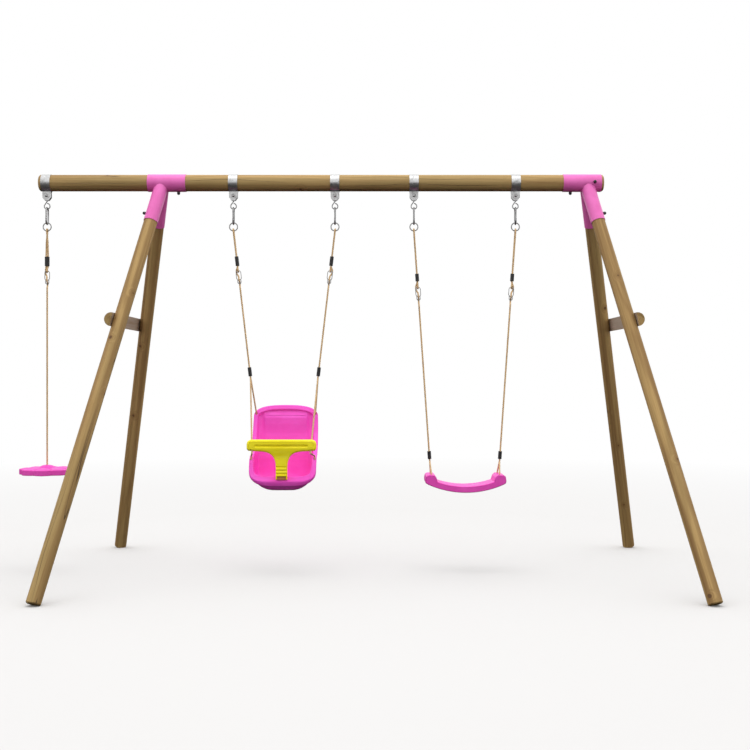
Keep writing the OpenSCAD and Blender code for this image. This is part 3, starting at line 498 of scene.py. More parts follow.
SHELL_A, SHELL_T, FLANGE_W, FLANGE_T = 163.0, 5.0, 20.0, 13.0
SHELL_Z0, SHELL_TOP = 461.0, 917.0
SHELL_ROUND_X, SHELL_ROUND_Z = 120.0, 100.0
BACK_ROUND_Y, FRONT_ROUND_Y, FRONT_ROUND_Z = 110.0, 60.0, 50.0
SHELL_FRONT, SHELL_BACK, SHELL_SLOPE = -163.0, 92.0, 0.125
FRONT_CORNER, BACK_CORNER, DOME_CORNER = 7.0, 10.0, 2.7
DOME_H = 60.0
DOME_Z = SHELL_TOP - DOME_H - FLANGE_W
FRONT_HOLE = (172.0, -92.0, 632.0)
BACK_HOLE = (165.0, 121.0, 868.0)
FRONT_KNOT, BACK_KNOT = 34.0, 33.0
HOLE_R = 6.5
LIP_EXTRA = 7.0
# How far the back panel stands forward, by height
PANEL_Z = (600, 645, 690, 760, 812, 846, 868, 885)
PANEL_OUT = (0, 3.5, 5, 8, 17, 20, 13, 0)
BABY_APEX = (185.0, 0.0, 1068.0)
ROPE_BEND = (155.5, -206.0, 668.0)
RIM_BACK = ((132, SHELL_TOP), (100, 790), (62, 690), (-28, 652))
RIM_FRONT = ((-28, 652), (-125, 655), (-118, 560), (-190, 508))


def bezier(p, count):
    p = np.array(p, float)
    t = np.linspace(0, 1, count)[:, None]
    return (1 - t) ** 3 * p[0] + 3 * (1 - t) ** 2 * t * p[1] + 3 * (1 - t) * t * t * p[2] + t**3 * p[3]


def line_distance(x, y, z, start, way):
    """Distance from a straight line through start along way."""
    dx, dy, dz = x - start[0], y - start[1], z - start[2]
    along = dx * way[0] + dy * way[1] + dz * way[2]
    return np.sqrt(np.maximum(dx * dx + dy * dy + dz * dz - along * along, 0))


def unit(vector):
    vector = np.array(vector, float)
    return vector / np.linalg.norm(vector)


def oval_distance(u, v, half_u, half_v, power):
    """Rough distance to a rounded rectangle."""
    across, along = u / half_u, v / half_v
    size = np.maximum((across**power + along**power) ** (1 / power), 1e-3)
    slope_u = (across / size) ** (power - 1) / half_u
    slope_v = (along / size) ** (power - 1) / half_v
    slope = np.maximum(np.hypot(slope_u, slope_v), 1e-4)
    return (size - 1) / slope


def baby_shell(centre_x, material):
    step = 2.0
    reach = SHELL_A + FLANGE_W
    x, y, z, origin = grid((-reach, -190, SHELL_Z0), (reach, 172, SHELL_TOP), step)

    # Tub: level rounded-rectangle slices that draw in towards the bottom, with a back that leans
    inset = 1 - np.sqrt(1 - np.clip((SHELL_Z0 + SHELL_ROUND_Z - z) / SHELL_ROUND_Z, 0, 0.999) ** 2)
    front_inset = 1 - np.sqrt(1 - np.clip((SHELL_Z0 + FRONT_ROUND_Z - z) / FRONT_ROUND_Z, 0, 0.999) ** 2)
    back = SHELL_BACK + (z - SHELL_Z0) * SHELL_SLOPE
    low_y, high_y = SHELL_FRONT + FRONT_ROUND_Y * front_inset, back - BACK_ROUND_Y * inset
    middle, half = (low_y + high_y) / 2, (high_y - low_y) / 2
    power = np.where(y > middle, BACK_CORNER, FRONT_CORNER)
    half_x = SHELL_A - SHELL_ROUND_X * inset
    tub = oval_distance(np.abs(x), np.abs(y - middle), half_x, half, power)
    tub = tub / np.maximum(np.sqrt(sum(g * g for g in np.gradient(tub, step))), 1)
    tub = np.maximum(tub, SHELL_Z0 - z)

    # Arched top in the front view
    rise = np.maximum(z - DOME_Z, 0)
    arch = oval_distance(np.abs(x) + 0 * rise, rise, SHELL_A, DOME_H, DOME_CORNER)
    arch = np.where(z > DOME_Z, arch, np.abs(x) - SHELL_A)
    outer = np.maximum(tub, soft_max(y - back, arch, 26.0))

    # Rim line in the side view
    line = np.concatenate([bezier(RIM_BACK, 24), bezier(RIM_FRONT, 24)[1:]]).tolist()
    region = [[140, SHELL_TOP + 60]] + line + [[-190, 300], [400, 300], [400, SHELL_TOP + 60]]
    rim = polygon_distance(y[0], z[0], region)[None]

    body = rounded(outer, rim, 4.0)
    # The flange is thickest and narrowest under the front lip
    half_lip = FLANGE_T / 2 + LIP_EXTRA * (1 - step_up(z, 530, 610))
    lip = rounded(outer - FLANGE_W * step_up(z, 450, 545), np.abs(rim + half_lip) - half_lip, 6.0)
    shell = soft_min(body, lip, 16.0)

    # Hollow, with a back panel that swells at head height and leaves a recess under the top roll
    panel = np.interp(z, PANEL_Z, PANEL_OUT) * step_up(138 - np.abs(x), 0, 26)
    wall = back - SHELL_T - panel - y
    hollow = rounded(outer + SHELL_T, -wall, 12.0)
    shell = soft_max(shell, -hollow, 7.0)

    # Rope holes
    for side in (-1, 1):
        hole = np.hypot(x - side * FRONT_HOLE[0], y - FRONT_HOLE[1]) + 0 * z - HOLE_R
        hole = np.maximum(hole, np.abs(z - FRONT_HOLE[2]) - 60)
        shell = np.maximum(shell, -hole)
        start = (side * BACK_HOLE[0], BACK_HOLE[1], BACK_HOLE[2])
        way = unit(np.array(start) - (side * BABY_APEX[0], BABY_APEX[1], BABY_APEX[2]))
        hole = np.maximum(line_distance(x, y, z, start, way) - HOLE_R, np.abs(z - start[2]) - 55)
        shell = np.maximum(shell, -hole)
    return solid("baby_seat_moulding", shell, origin, step, (centre_x, 0, 0), material, 4)


# ---- T-bar ----

BAR_W, BAR_Z0, BAR_Z1, BAR_Y, BAR_DEPTH = 371.0, 679.0, 740.0, -184.0, 46.0
STEM_W, STEM_Z0, STEM_DEPTH = 62.0, 525.0, 24.0
BAR_MID = (158.6, -184.6, 709.5)
SLOT_MIDDLE, SLOT_HALF = 163.75, 14.25
GROOVE_Z = 706.0
RIB_Z = (593, 574, 556)
WINDOW_Z, WINDOW_X, WINDOW_HALF = 535.0, 24.0, 9.0


def t_bar(centre_x, material):
    step = 1.5
    x, y, z, origin = grid(
        (-BAR_W / 2, BAR_Y - BAR_DEPTH / 2, STEM_Z0), (BAR_W / 2, BAR_Y + BAR_DEPTH / 2, BAR_Z1), step
    )
    half = BAR_W / 2
    low_side = bezier(((half - 8, 681), (118, 671), (34, 697), (31, 597)), 24).tolist()
    bar_end = [[half, 691], [half, 719], [half - 6, 733], [half - 20, BAR_Z1]]
    right = [[31, STEM_Z0]] + low_side[::-1] + bar_end
    outline = right + [[-px, pz] for px, pz in right[::-1]]
    flat = polygon_distance(x[:, :, 0], z[0], outline)[:, None, :]
    swell = step_up(z, 636, 700)
    half_depth = STEM_DEPTH / 2 + (BAR_DEPTH - STEM_DEPTH) / 2 * swell
    whole = rounded(flat, np.abs(y - BAR_Y) - half_depth, 5.0 + 7.0 * swell)

    front = BAR_Y - BAR_DEPTH / 2
    groove = rounded(stadium(x, z - GROOVE_Z, 140, 6.5), np.abs(y - front) - 7.5, 2.0)
    whole = soft_max(whole, -groove, 3.0)
    stem_front = BAR_Y - STEM_DEPTH / 2
    for rib_z in RIB_Z:
        rib = rounded(stadium(x, z - rib_z, STEM_W / 2 - 3, 3.6), np.abs(y - stem_front) - 5.2, 1.0)
        whole = soft_max(whole, -rib, 2.0)
    window = np.maximum(np.abs(x) - WINDOW_X, np.abs(z - WINDOW_Z) - WINDOW_HALF)
    window = rounded(window, np.abs(y - stem_front) - 10.0, 1.5)
    whole = soft_max(whole, -window, 1.5)

    # End slots along the ropes
    tilt = math.atan(-BAR_MID[1] / (BABY_APEX[2] - BAR_MID[2]))
    square_y = (y - BAR_MID[1]) * math.cos(tilt) + (z - BAR_MID[2]) * -math.sin(tilt)
    for side in (-1, 1):
        slot = stadium(side * x - SLOT_MIDDLE, square_y, SLOT_HALF, HOLE_R)
        whole = np.maximum(whole, -np.maximum(slot, BAR_Z0 - 30 - z))
    return solid("baby_seat_t_bar", whole, origin, step, (centre_x, 0, 0), material)


# ---- Single seat ----

SINGLE_W, SINGLE_DEPTH, SINGLE_MID_Z, SINGLE_MID_T = 440.0, 190.0, 480.0, 34.0
SINGLE_BLOCK_TOP = 542.0
SINGLE_HOLE = (186.0, 59.0)
SINGLE_KNOT_Z = 494.0
SINGLE_APEX = (192.0, 0.0, 613.0)


def single_seat(centre_x, material):
    step = 1.8
    half = SINGLE_W / 2
    low_z = SINGLE_MID_Z - SINGLE_MID_T
    x, y, z, origin = grid(
        (-half, -SINGLE_DEPTH / 2, low_z), (half, SINGLE_DEPTH / 2, SINGLE_BLOCK_TOP), step
    )
    top_half, top_sag, low_half, low_sag = 152.0, 25.0, 205.0, 44.0
    top_r = (top_half**2 + top_sag**2) / (2 * top_sag)
    low_r = (low_half**2 + low_sag**2) / (2 * low_sag)
    tops = [[t, SINGLE_MID_Z + top_r - math.sqrt(top_r**2 - t * t)] for t in np.linspace(0, top_half, 40)]
    lows = [[t, low_z + low_r - math.sqrt(low_r**2 - t * t)] for t in np.linspace(0, low_half, 40)]
    right = tops + [
        [half - 60, SINGLE_BLOCK_TOP - 12], [half - 48, SINGLE_BLOCK_TOP], [half - 14, SINGLE_BLOCK_TOP],
        [half - 4, SINGLE_BLOCK_TOP - 8], [half, low_z + 66], [half - 2, low_z + 52],
    ] + lows[::-1]
    outline = right + [[-px, pz] for px, pz in right[::-1]]

    def front_view(px, pz):
        return polygon_distance(px[:, :, 0], pz[0], outline)[:, None, :]

    flat = front_view(x, z)
    whole = rounded(flat, np.abs(y) - SINGLE_DEPTH / 2, 4.0)

    # Sitting surface: raised cross ridges against slipping
    ridge_zone = step_up(118 - np.abs(x), 0, 8) * step_up(78 - np.abs(y), 0, 8)
    ridge = np.cos(2 * math.pi * x / 13.0) * ridge_zone
    whole = whole - np.where(z > SINGLE_MID_Z - 12, 0.7 * ridge, 0)

    # Underside: a hollow with ribs between the rope blocks
    skin = 6.0
    under = np.maximum(front_view(x, z + skin + 2), np.abs(x) - 131)
    open_below = np.maximum(np.abs(x) - 131, z - (low_z + 16))
    hollow = rounded(np.minimum(under, open_below), np.abs(y) - SINGLE_DEPTH / 2 + skin, 4.0)
    for rib_x in (-96, -48, 0, 48, 96):
        hollow = soft_max(hollow, 1.7 - np.abs(x - rib_x) + 0 * (y + z), 3.0)
    hollow = soft_max(hollow, 1.7 - np.abs(y) + 0 * (x + z), 3.0)
    whole = soft_max(whole, -hollow, 2.0)

    for side_x in (-1, 1):
        for side_y in (-1, 1):
            away = np.hypot(x - side_x * SINGLE_HOLE[0], y - side_y * SINGLE_HOLE[1])
            whole = soft_max(whole, 6.2 - away + 0 * z, 3.0)
            pocket = np.maximum(away - 14, z - SINGLE_KNOT_Z - 12.1)
            whole = np.maximum(whole, -pocket)
    return solid("single_seat_moulding", whole, origin, step, (centre_x, 0, 0), material, 1)


# ---- Button seat ----

BUTTON_D, BUTTON_Z, BUTTON_T = 300.0, 572.0, 32.0
PETALS, PETAL_TURN, PETAL_R = 8, 4.5, 52.0
BUTTON_KNOT_Z = 551.9


def button_seat(centre_x, material):
    step = 1.5
    reach, bottom = BUTTON_D / 2, BUTTON_Z - BUTTON_T
    x, y, z, origin = grid((-reach, -reach, bottom), (reach, reach, BUTTON_Z + 22), step)
    at = reach - PETAL_R
    flower = np.hypot(x, y) - at
    pillow = np.zeros(flower.shape)
    crease = np.full(flower.shape, 1e3)
    for i in range(PETALS):
        turn = math.radians(PETAL_TURN + 360 / PETALS * i)
        along, across = x * math.cos(turn) + y * math.sin(turn), -x * math.sin(turn) + y * math.cos(turn)
        flower = soft_min(flower, np.hypot(along - at, across) - PETAL_R, 9.0)
        off = np.hypot(across, np.maximum(np.abs(along - 78) - 26, 0))
        pillow = np.maximum(pillow, np.clip(1 - (off / 40) ** 2, 0, 1))
        half_way = turn + math.pi / PETALS
        line = np.abs(-x * math.sin(half_way) + y * math.cos(half_way))
        behind = x * math.cos(half_way) + y * math.sin(half_way) < 0
        crease = np.minimum(crease, np.where(behind, 1e3, line))
    ring = np.hypot(x, y)
    crown = BUTTON_Z - 1 + 6 * pillow - 3.0 * (1 - step_up(crease, 0, 8)) * step_up(ring, 50, 64)
    plate = rounded(flower, z - crown, 2.5)
    plate = rounded(plate, bottom - z, 4.0)
    hub = (np.sqrt((ring / 46) ** 2 + ((z - (BUTTON_Z - 1)) / 21) ** 2) - 1) * 21
    whole = soft_min(plate, hub, 3.0)
    whole = soft_max(whole, 2.2 - np.hypot(ring - 49, z - BUTTON_Z + 2), 1.5)

    # Underside: hollow between ribs, with a boss and a pocket for the knot
    hollow = rounded(flower + 5, np.maximum(z - (BUTTON_Z - 8 - 9), bottom - 20 - z), 3.0)
    hollow = soft_max(hollow, 19 - ring + 0 * z, 3.0)
    for i in range(PETALS // 2):
        turn = math.radians(PETAL_TURN + 360 / PETALS * i)
        hollow = soft_max(hollow, 2.2 - np.abs(-x * math.sin(turn) + y * math.cos(turn)) + 0 * z, 3.0)
    whole = soft_max(whole, -hollow, 2.0)
    whole = np.maximum(whole, -np.maximum(ring - 14, z - (BUTTON_Z - 8)))
    whole = soft_max(whole, 5.6 - ring + 0 * z, 3.0)
    return solid("button_seat_moulding", whole, origin, step, (centre_x, 0, 0), material)


# ---- Ropes ----

ROPE_R = 5.0
ROPE_PITCH = 34.0
STRAND_R = 2.75
STRAND_OFF = 2.35
STRAND_SIDES = 8
ROPE_STEP = 2.0


def even_path(points, step=ROPE_STEP, soften=3):
    """A path with even steps and softened corners."""
    points = np.array(points, float)
    run = np.concatenate([[0], np.cumsum(np.linalg.norm(np.diff(points, axis=0), axis=1))])
    at = np.linspace(0, run[-1], max(3, int(round(run[-1] / step)) + 1))
    path = np.stack([np.interp(at, run, points[:, k]) for k in range(3)], 1)
    for _ in range(soften):
        path[1:-1] = (path[:-2] + 2 * path[1:-1] + path[2:]) / 4
    return path


def path_frames(path):
    """A tangent, a normal and a side direction at each point, turning as little as they can."""
    tangents = np.gradient(path, axis=0)
    tangents /= np.linalg.norm(tangents, axis=1)[:, None]
    normal = np.cross(tangents[0], (0.3, 0.8, 0.52))
    normals = []
    for t in tangents:
        normal = normal - t * (normal @ t)
        normal /= np.linalg.norm(normal)
        normals.append(normal)
    normals = np.array(normals)
    return tangents, normals, np.cross(tangents, normals)


def rope_parts(path, phase=0.0, scale=1.0):
    """Three strands laid round a path: points, quads and a UV for each corner."""
    tangents, normals, sides = path_frames(path)
    run = np.concatenate([[0], np.cumsum(np.linalg.norm(np.diff(path, axis=0), axis=1))])
    count = len(path)
    vertices, faces, uvs = [], [], []
    angles = 2 * math.pi * np.arange(STRAND_SIDES) / STRAND_SIDES
    for strand in range(3):
        turn = 2 * math.pi * run / (ROPE_PITCH * scale) + phase + 2 * math.pi * strand / 3
        out = np.cos(turn)[:, None] * normals + np.sin(turn)[:, None] * sides
        round_way = -np.sin(turn)[:, None] * normals + np.cos(turn)[:, None] * sides
        centre = path + STRAND_OFF * scale * out
        base = sum(len(v) for v in vertices)
        rings = [
            centre + STRAND_R * scale * (math.cos(a) * out + math.sin(a) * round_way) for a in angles
        ]
        rings = np.stack(rings, 1)
        vertices.append(rings.reshape(-1, 3))
        for i in range(count - 1):
            for j in range(STRAND_SIDES):
                k = (j + 1) % STRAND_SIDES
                a, b = base + i * STRAND_SIDES, base + (i + 1) * STRAND_SIDES
                faces.append((a + j, a + k, b + k, b + j))
                u0, u1 = run[i] / ROPE_PITCH, run[i + 1] / ROPE_PITCH
                v0, v1 = j / STRAND_SIDES, (j + 1) / STRAND_SIDES
                uvs += [(u0, v0), (u0, v1), (u1, v1), (u1, v0)]
        first = tuple(base + j for j in reversed(range(STRAND_SIDES)))
        last = tuple(base + (count - 1) * STRAND_SIDES + j for j in range(STRAND_SIDES))
        for cap in (first, last):
            faces.append(cap)
            uvs += [(0.0, 0.0)] * STRAND_SIDES
    return np.concatenate(vertices), faces, uvs


def add_rope(name, paths, material):
    """One object from several rope paths, each (points, scale)."""
    vertices, faces, uvs = [], [], []
    for number, (path, scale) in enumerate(paths):
        v, f, uv = rope_parts(path, 0.9 * number, scale)
        base = sum(len(x) for x in vertices)
        vertices.append(v)
        faces += [tuple(base + i for i in face) for face in f]
        uvs += uv
    obj = add_mesh(name, np.concatenate(vertices), faces, material)
    layer = obj.data.uv_layers.new(name="lay")
    layer.data.foreach_set("uv", np.array(uvs, np.float32).ravel())
    return obj


def knot_path(centre, radius, tilt=0.0):
    """An overhand knot pulled tight, inside a ball of the given radius."""
    t = np.linspace(0, 2 * math.pi, 70)
    spread = (radius - ROPE_R * 0.8) / 3
    lie = np.stack([
        spread * (np.sin(t) + 2 * np.sin(2 * t)), spread * (np.cos(t) - 2 * np.cos(2 * t)),
        -0.42 * radius * np.sin(3 * t),
    ], 1)
    c, s = math.cos(tilt), math.sin(tilt)
    lie = np.stack([lie[:, 0], c * lie[:, 1] - s * lie[:, 2], s * lie[:, 1] + c * lie[:, 2]], 1)
    return np.array(centre) + lie


def arc_points(centre_z, radius, start, sweep, count=14):
    """Points on an arc in the YZ plane, in degrees from +Y towards +Z."""
    angles = np.radians(np.linspace(start, start + sweep, count))
    return [[0.0, radius * math.cos(a), centre_z + radius * math.sin(a)] for a in angles]


EYE_R, STRAND_Y, WRAP_R, WEAVE_Y = 9.4, 5.2, 8.2, 9.8
TWIST_AT, TWIST_DROP = 4.4, 60.0
ADJUSTER_H, ADJUSTER_LOW = 52.0, 73.0
LONG_SLING = (142.7, 51.0, 219.7)
SINGLE_SLING = (236.7, 41.0, 309.7)
# How far a hanging rope ends above the seat ropes' apex, how far up the seat ropes start, how far two of
# them lie apart, and their size against a hanging rope
APEX_GAP = 13.6
SPLICE_UP = 13.0
STRAND_APART = 3.2
SEAT_ROPE_SCALE = 0.92
BLOCK_KNOT_R, BLOCK_KNOT_SCALE = 12.0, 0.8


def hanging_points(sling, length, side, turned=False):
    """One rope in its own frame: the eye's middle is the origin and the rope runs down -Z. turned lays
    the two strands side by side in the sleeve."""
    top = -sling[2]
    sleeve_top, sleeve_end = -sling[0] + 3, -sling[0] - sling[1] - 3
    beside = side * (2 * ROPE_R + 0.6)
    middle = top - (ADJUSTER_H + ADJUSTER_LOW) / 2
    sx, sy = (side * STRAND_Y, 0) if turned else (0, STRAND_Y)
    quarter = [[side * TWIST_AT, TWIST_AT, -TWIST_DROP]] if turned else []
    points = arc_points(top, WRAP_R, 20, -200)
    points += [[-sx, -sy, sleeve_end], [-sx, -sy, sleeve_top]]
    points += [[-px, -py, pz] for px, py, pz in quarter]
    points += arc_points(0, EYE_R, 180, -180) + quarter
    points += [[sx, sy, sleeve_top], [sx, sy, sleeve_end]]
    points += [[beside, WRAP_R, top + 2], [beside, WRAP_R, top - 15.5], [side, 0, top - 32]]
    points += [[0, -WEAVE_Y, middle + WEAVE_Y], [0, WEAVE_Y, middle - WEAVE_Y]]
    return points + [[0, 0, top - ADJUSTER_LOW - 23], [0, 0, -length]]


def hung(points, eye, lean):
    """Points of a rope's own frame in the row frame, leant about Y at the eye."""
    points = np.array(points, float)
    c, s = math.cos(lean), math.sin(lean)
    x, y, z = points.T
    turned = np.stack([c * x + s * z, y, -s * x + c * z], 1)
    return turned + eye


def eye_of(ring_node, side=0):
    """The middle of a ring's bottom wire."""
    low, high = half_box_mm(ring_node, side) if side else box_mm(ring_node)
    return np.array([(low[0] + high[0]) / 2, (low[1] + high[1]) / 2, low[2] + 3.0])


def swing_ropes(name, ring_node, seat_x, apex, sling, material):
    """The two ropes above a seat's lower sleeves."""
    paths = []
    for side in (-1, 1):
        eye = eye_of(ring_node, side)
        end = np.array([seat_x + side * apex[0], apex[1], apex[2]])
        drop = eye - end
        lean = side * math.atan2(abs(drop[0]), drop[2])
        length = np.linalg.norm(drop) - APEX_GAP
        paths.append((even_path(hung(hanging_points(sling, length, side), eye, lean)), 1.0))
    return add_rope(name, paths, material)


def above(apex_point, eye, distance):
    """The point a distance up a rope from its lower end."""
    return apex_point + distance * unit(eye - apex_point)


# ---- The scene ----

def middle_x(node):
    low, high = box_mm(node)
    return (low[0] + high[0]) / 2


baby_x = middle_x("baby_seat_shell")
single_x = middle_x("single_seat")

pink_plastic = moulded(
    "pink_plastic", (0.80, 0.080, 0.480), (0.85, 0.094, 0.530), (0.87, 0.14, 0.57), 0.07
)
bright_plastic = moulded(
    "bright_pink_plastic", (0.94, 0.092, 0.62), (0.98, 0.110, 0.68), (0.98, 0.20, 0.76), 0.2
)
# Box of the T-bar's window pocket, which gets the painted amber shade and reflection
stem_window = np.array([
    [baby_x - WINDOW_X - 1, BAR_Y - STEM_DEPTH / 2 + 2, WINDOW_Z - WINDOW_HALF - 1],
    [baby_x + WINDOW_X + 1, BAR_Y, WINDOW_Z + WINDOW_HALF + 1],
]) * MM
yellow_plastic = moulded(
    "yellow_plastic", (0.94, 0.800, 0.012), (0.98, 0.860, 0.020), (0.98, 0.92, 0.14), 0.2,
    stem_window.tolist()
)
rope_finish = laid_rope()
zinc_finish = zinc("galvanised_steel", 0.93)
dark_finish = zinc("dulled_galvanised_steel", 0.62)
nylon_finish = nylon()
powder_finish = powder_coat()

POLES = [
    ("beam", 0.045), ("leg_front_left", 0.036), ("leg_back_left", 0.036), ("leg_front_right", 0.036),
    ("leg_back_right", 0.036), ("brace_left", 0.036), ("brace_right", 0.036),
]
for number, (node, radius) in enumerate(POLES):
    sawn = flat_side(node) if node.startswith("brace") else None
    wear_material(NODES[node], pine("pine_" + node, node, radius, 3.0 + 1.37 * number, sawn))

for node in ("bracket_left", "bracket_right"):
    wear_material(NODES[node], powder_finish)
for node in ("screw_caps", "clamp_bushes", "button_sleeve", "baby_upper_sleeves", "baby_lower_sleeves",
             "single_upper_sleeves", "single_lower_sleeves"):
    wear_material(NODES[node], nylon_finish)
STEEL = ["bracket_screws", "brace_screws", "button_clamp", "baby_clamps", "single_clamps", "clamp_bolts",
         "clamp_nuts"]
WIRE = ["button_gate", "baby_gate_left", "baby_gate_right", "single_gate_left", "single_gate_right"]
for swing, end in (("button_", ""), ("baby_", "s"), ("single_", "s")):
    WIRE += [swing + part + end for part in ("link", "hook", "gate_pin", "ring", "adjuster")]
for node in STEEL:
    wear_material(NODES[node], zinc_finish)
for node in WIRE:
    wear_material(NODES[node], dark_finish)

button_x = eye_of("button_ring")[0]

shell = baby_shell(baby_x, bright_plastic)
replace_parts(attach(shell, "baby_seat"), "baby_seat_shell")
bar = t_bar(baby_x, yellow_plastic)
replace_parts(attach(bar, "baby_t_bar"), "baby_t_bar")
seat = single_seat(single_x, pink_plastic)
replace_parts(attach(seat, "single_seat"), "single_seat")
flower_seat = button_seat(button_x, pink_plastic)
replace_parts(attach(flower_seat, "button_seat"), "button_seat")

# Ropes above the seats
ropes = swing_ropes("baby_hanging_ropes", "baby_rings", baby_x, BABY_APEX, LONG_SLING, rope_finish)
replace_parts(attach(ropes, "baby_swing"), "baby_ropes")
ropes = swing_ropes("single_hanging_ropes", "single_rings", single_x, SINGLE_APEX, SINGLE_SLING, rope_finish)
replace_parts(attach(ropes, "single_swing"), "single_ropes")
button_eye = eye_of("button_ring")
button_path = hung(hanging_points(LONG_SLING, button_eye[2] - BUTTON_KNOT_Z, -1, True), button_eye, 0.0)
button_knot = knot_path((button_x, 0, BUTTON_KNOT_Z), BLOCK_KNOT_R)
ropes = add_rope(
    "button_hanging_rope",
    [(even_path(button_path), 1.0), (even_path(button_knot), BLOCK_KNOT_SCALE)],
    rope_finish,
)
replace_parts(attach(ropes, "button_swing"), "button_rope")

# Ropes that carry the single seat: two from each apex, knotted in the seat's pockets
paths = []
for side in (-1, 1):
    apex = np.array([single_x + side * SINGLE_APEX[0], SINGLE_APEX[1], SINGLE_APEX[2]])
    start = above(apex, eye_of("single_rings", side), SPLICE_UP)
    hole_x = single_x + side * SINGLE_HOLE[0]
    for face in (-1, 1):
        hole_y = face * SINGLE_HOLE[1]
        beside = np.array([0, face * STRAND_APART, 0])
        points = [
            start + beside * 0.6, apex + beside, [hole_x, hole_y, SINGLE_BLOCK_TOP + 8],
            [hole_x, hole_y, SINGLE_KNOT_Z],
        ]
        paths.append((even_path(points), SEAT_ROPE_SCALE))
        knot = knot_path((hole_x, hole_y, SINGLE_KNOT_Z), BLOCK_KNOT_R)
        paths.append((even_path(knot), BLOCK_KNOT_SCALE))
ropes = add_rope("single_seat_strands", paths, rope_finish)
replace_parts(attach(ropes, "single_seat"), "single_seat_ropes")

# Ropes that carry the baby seat: in front through the bar's slots and the rim, behind through the rim
paths = []
for side in (-1, 1):
    apex = np.array([baby_x + side * BABY_APEX[0], BABY_APEX[1], BABY_APEX[2]])
    start = above(apex, eye_of("baby_rings", side), SPLICE_UP)
    front_x = baby_x + side * FRONT_HOLE[0]
    beside = np.array([0, STRAND_APART, 0])
    points = [
        start - 0.6 * beside, apex - beside, [baby_x + side * ROPE_BEND[0], ROPE_BEND[1], ROPE_BEND[2]],
        [front_x, FRONT_HOLE[1], FRONT_HOLE[2] + 14], [front_x, FRONT_HOLE[1], FRONT_HOLE[2] - FRONT_KNOT],
    ]
    paths.append((even_path(points), SEAT_ROPE_SCALE))
    paths.append((even_path(knot_path(points[-1], 9.0)), 0.68))
    back = np.array([baby_x + side * BACK_HOLE[0], BACK_HOLE[1], BACK_HOLE[2]])
    tail = back + BACK_KNOT * unit(back - apex)
    paths.append((even_path([start + 0.6 * beside, apex + beside, tail]), SEAT_ROPE_SCALE))
    paths.append((even_path(knot_path(tail, 10.0, 0.9)), 0.72))
ropes = add_rope("baby_seat_strands", paths, rope_finish)
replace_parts(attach(ropes, "baby_seat"), "baby_seat_ropes")


# ---- Floor, light and camera ----

FLOOR_HALF = 60.0
FLOOR_FADE = (3.0, 9.0)
SKY = 1.36
CAMERA_AT = (0.158, -6.325, 1.085)
CAMERA_LENS = 55.2


def floor():
    """Pale and matt near the swings, plain white far off, and dark to every ray but the camera's."""
    mesh = bpy.data.meshes.new("floor")
    h = FLOOR_HALF
    mesh.from_pydata([(-h, -h, 0), (h, -h, 0), (h, h, 0), (-h, h, 0)], [], [(0, 1, 2, 3)])
    obj = bpy.data.objects.new("floor", mesh)
    bpy.context.scene.collection.objects.link(obj)
    material = bpy.data.materials.new("studio_floor")
    material.use_nodes = True
    tree = material.node_tree
    tree.nodes.clear()
    make = tree.nodes.new
    pale, dark = make("ShaderNodeBsdfDiffuse"), make("ShaderNodeBsdfDiffuse")
    pale.inputs["Color"].default_value = (0.655, 0.651, 0.652, 1)
    dark.inputs["Color"].default_value = (0.045, 0.043, 0.043, 1)
    glow = make("ShaderNodeEmission")
    place = make("ShaderNodeTexCoord")
    length = make("ShaderNodeVectorMath")
    length.operation = "LENGTH"
    fade = make("ShaderNodeMapRange")
    fade.inputs["From Min"].default_value, fade.inputs["From Max"].default_value = FLOOR_FADE
    near_far, seen_not = make("ShaderNodeMixShader"), make("ShaderNodeMixShader")
    ray = make("ShaderNodeLightPath")
    out = make("ShaderNodeOutputMaterial")
    link = tree.links.new
    link(place.outputs["Object"], length.inputs[0])
    link(length.outputs["Value"], fade.inputs["Value"])
    link(fade.outputs[0], near_far.inputs[0])
    link(pale.outputs[0], near_far.inputs[1])
    link(glow.outputs[0], near_far.inputs[2])
    link(ray.outputs["Is Camera Ray"], seen_not.inputs[0])
    link(dark.outputs[0], seen_not.inputs[1])
    link(near_far.outputs[0], seen_not.inputs[2])
    link(seen_not.outputs[0], out.inputs["Surface"])
    mesh.materials.append(material)


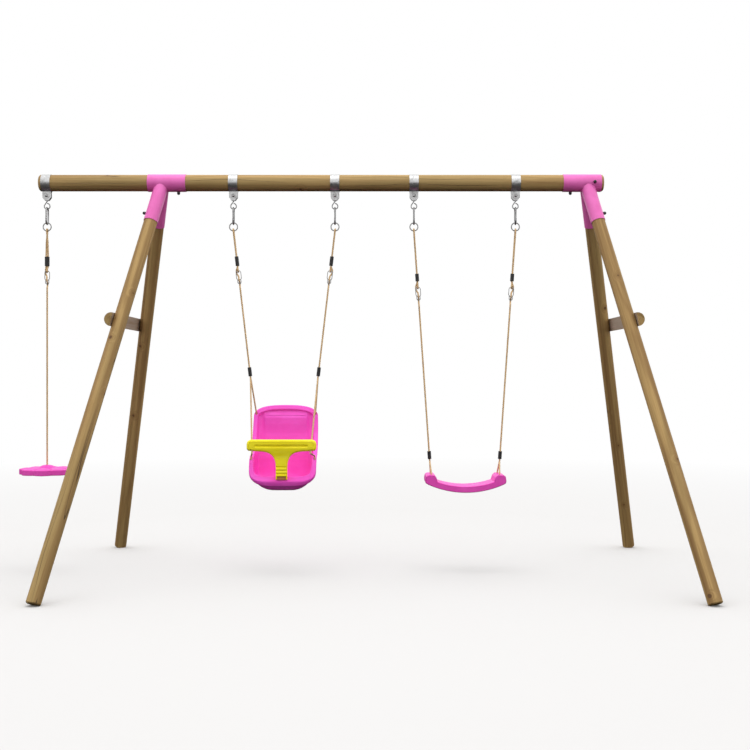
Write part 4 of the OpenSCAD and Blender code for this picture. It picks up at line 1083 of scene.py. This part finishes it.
def sky():
    """A soft even dome from above, dark below, and plain white where the camera looks straight at it."""
    world = bpy.data.worlds.new("studio")
    bpy.context.scene.world = world
    world.use_nodes = True
    tree = world.node_tree
    tree.nodes.clear()
    make = tree.nodes.new
    place, split, fade = make("ShaderNodeTexCoord"), make("ShaderNodeSeparateXYZ"), make("ShaderNodeMapRange")
    fade.inputs["From Min"].default_value = -0.04
    fade.inputs["From Max"].default_value = 0.10
    fade.inputs["To Min"].default_value = 0.04
    fade.inputs["To Max"].default_value = SKY
    dome, white = make("ShaderNodeBackground"), make("ShaderNodeBackground")
    mixer, ray, out = make("ShaderNodeMixShader"), make("ShaderNodeLightPath"), make("ShaderNodeOutputWorld")
    link = tree.links.new
    link(place.outputs["Generated"], split.inputs[0])
    link(split.outputs["Z"], fade.inputs["Value"])
    link(fade.outputs[0], dome.inputs["Strength"])
    dome.inputs["Color"].default_value = (1.0, 0.995, 0.985, 1)
    link(ray.outputs["Is Camera Ray"], mixer.inputs[0])
    link(dome.outputs[0], mixer.inputs[1])
    link(white.outputs[0], mixer.inputs[2])
    white.inputs["Color"].default_value = (1, 1, 1, 1)
    link(mixer.outputs[0], out.inputs["Surface"])


def key_light():
    data = bpy.data.lights.new("softbox", "AREA")
    data.shape = "RECTANGLE"
    data.size, data.size_y = 4.0, 2.0
    data.energy = 45
    lamp = bpy.data.objects.new("softbox", data)
    lamp.location = (-0.2, -0.6, 5.4)
    lamp.rotation_euler = (Vector((0, 0, 1.2)) - lamp.location).to_track_quat("-Z", "Y").to_euler()
    bpy.context.scene.collection.objects.link(lamp)


def camera():
    data = bpy.data.cameras.new("camera")
    data.sensor_width = 36.0
    data.lens = CAMERA_LENS
    data.clip_end = 200
    view = bpy.data.objects.new("camera", data)
    view.location = CAMERA_AT
    view.rotation_euler = (math.pi / 2, 0, 0)
    bpy.context.scene.collection.objects.link(view)
    bpy.context.scene.camera = view


floor()
sky()
key_light()
camera()
bpy.context.scene.view_settings.view_transform = "Standard"
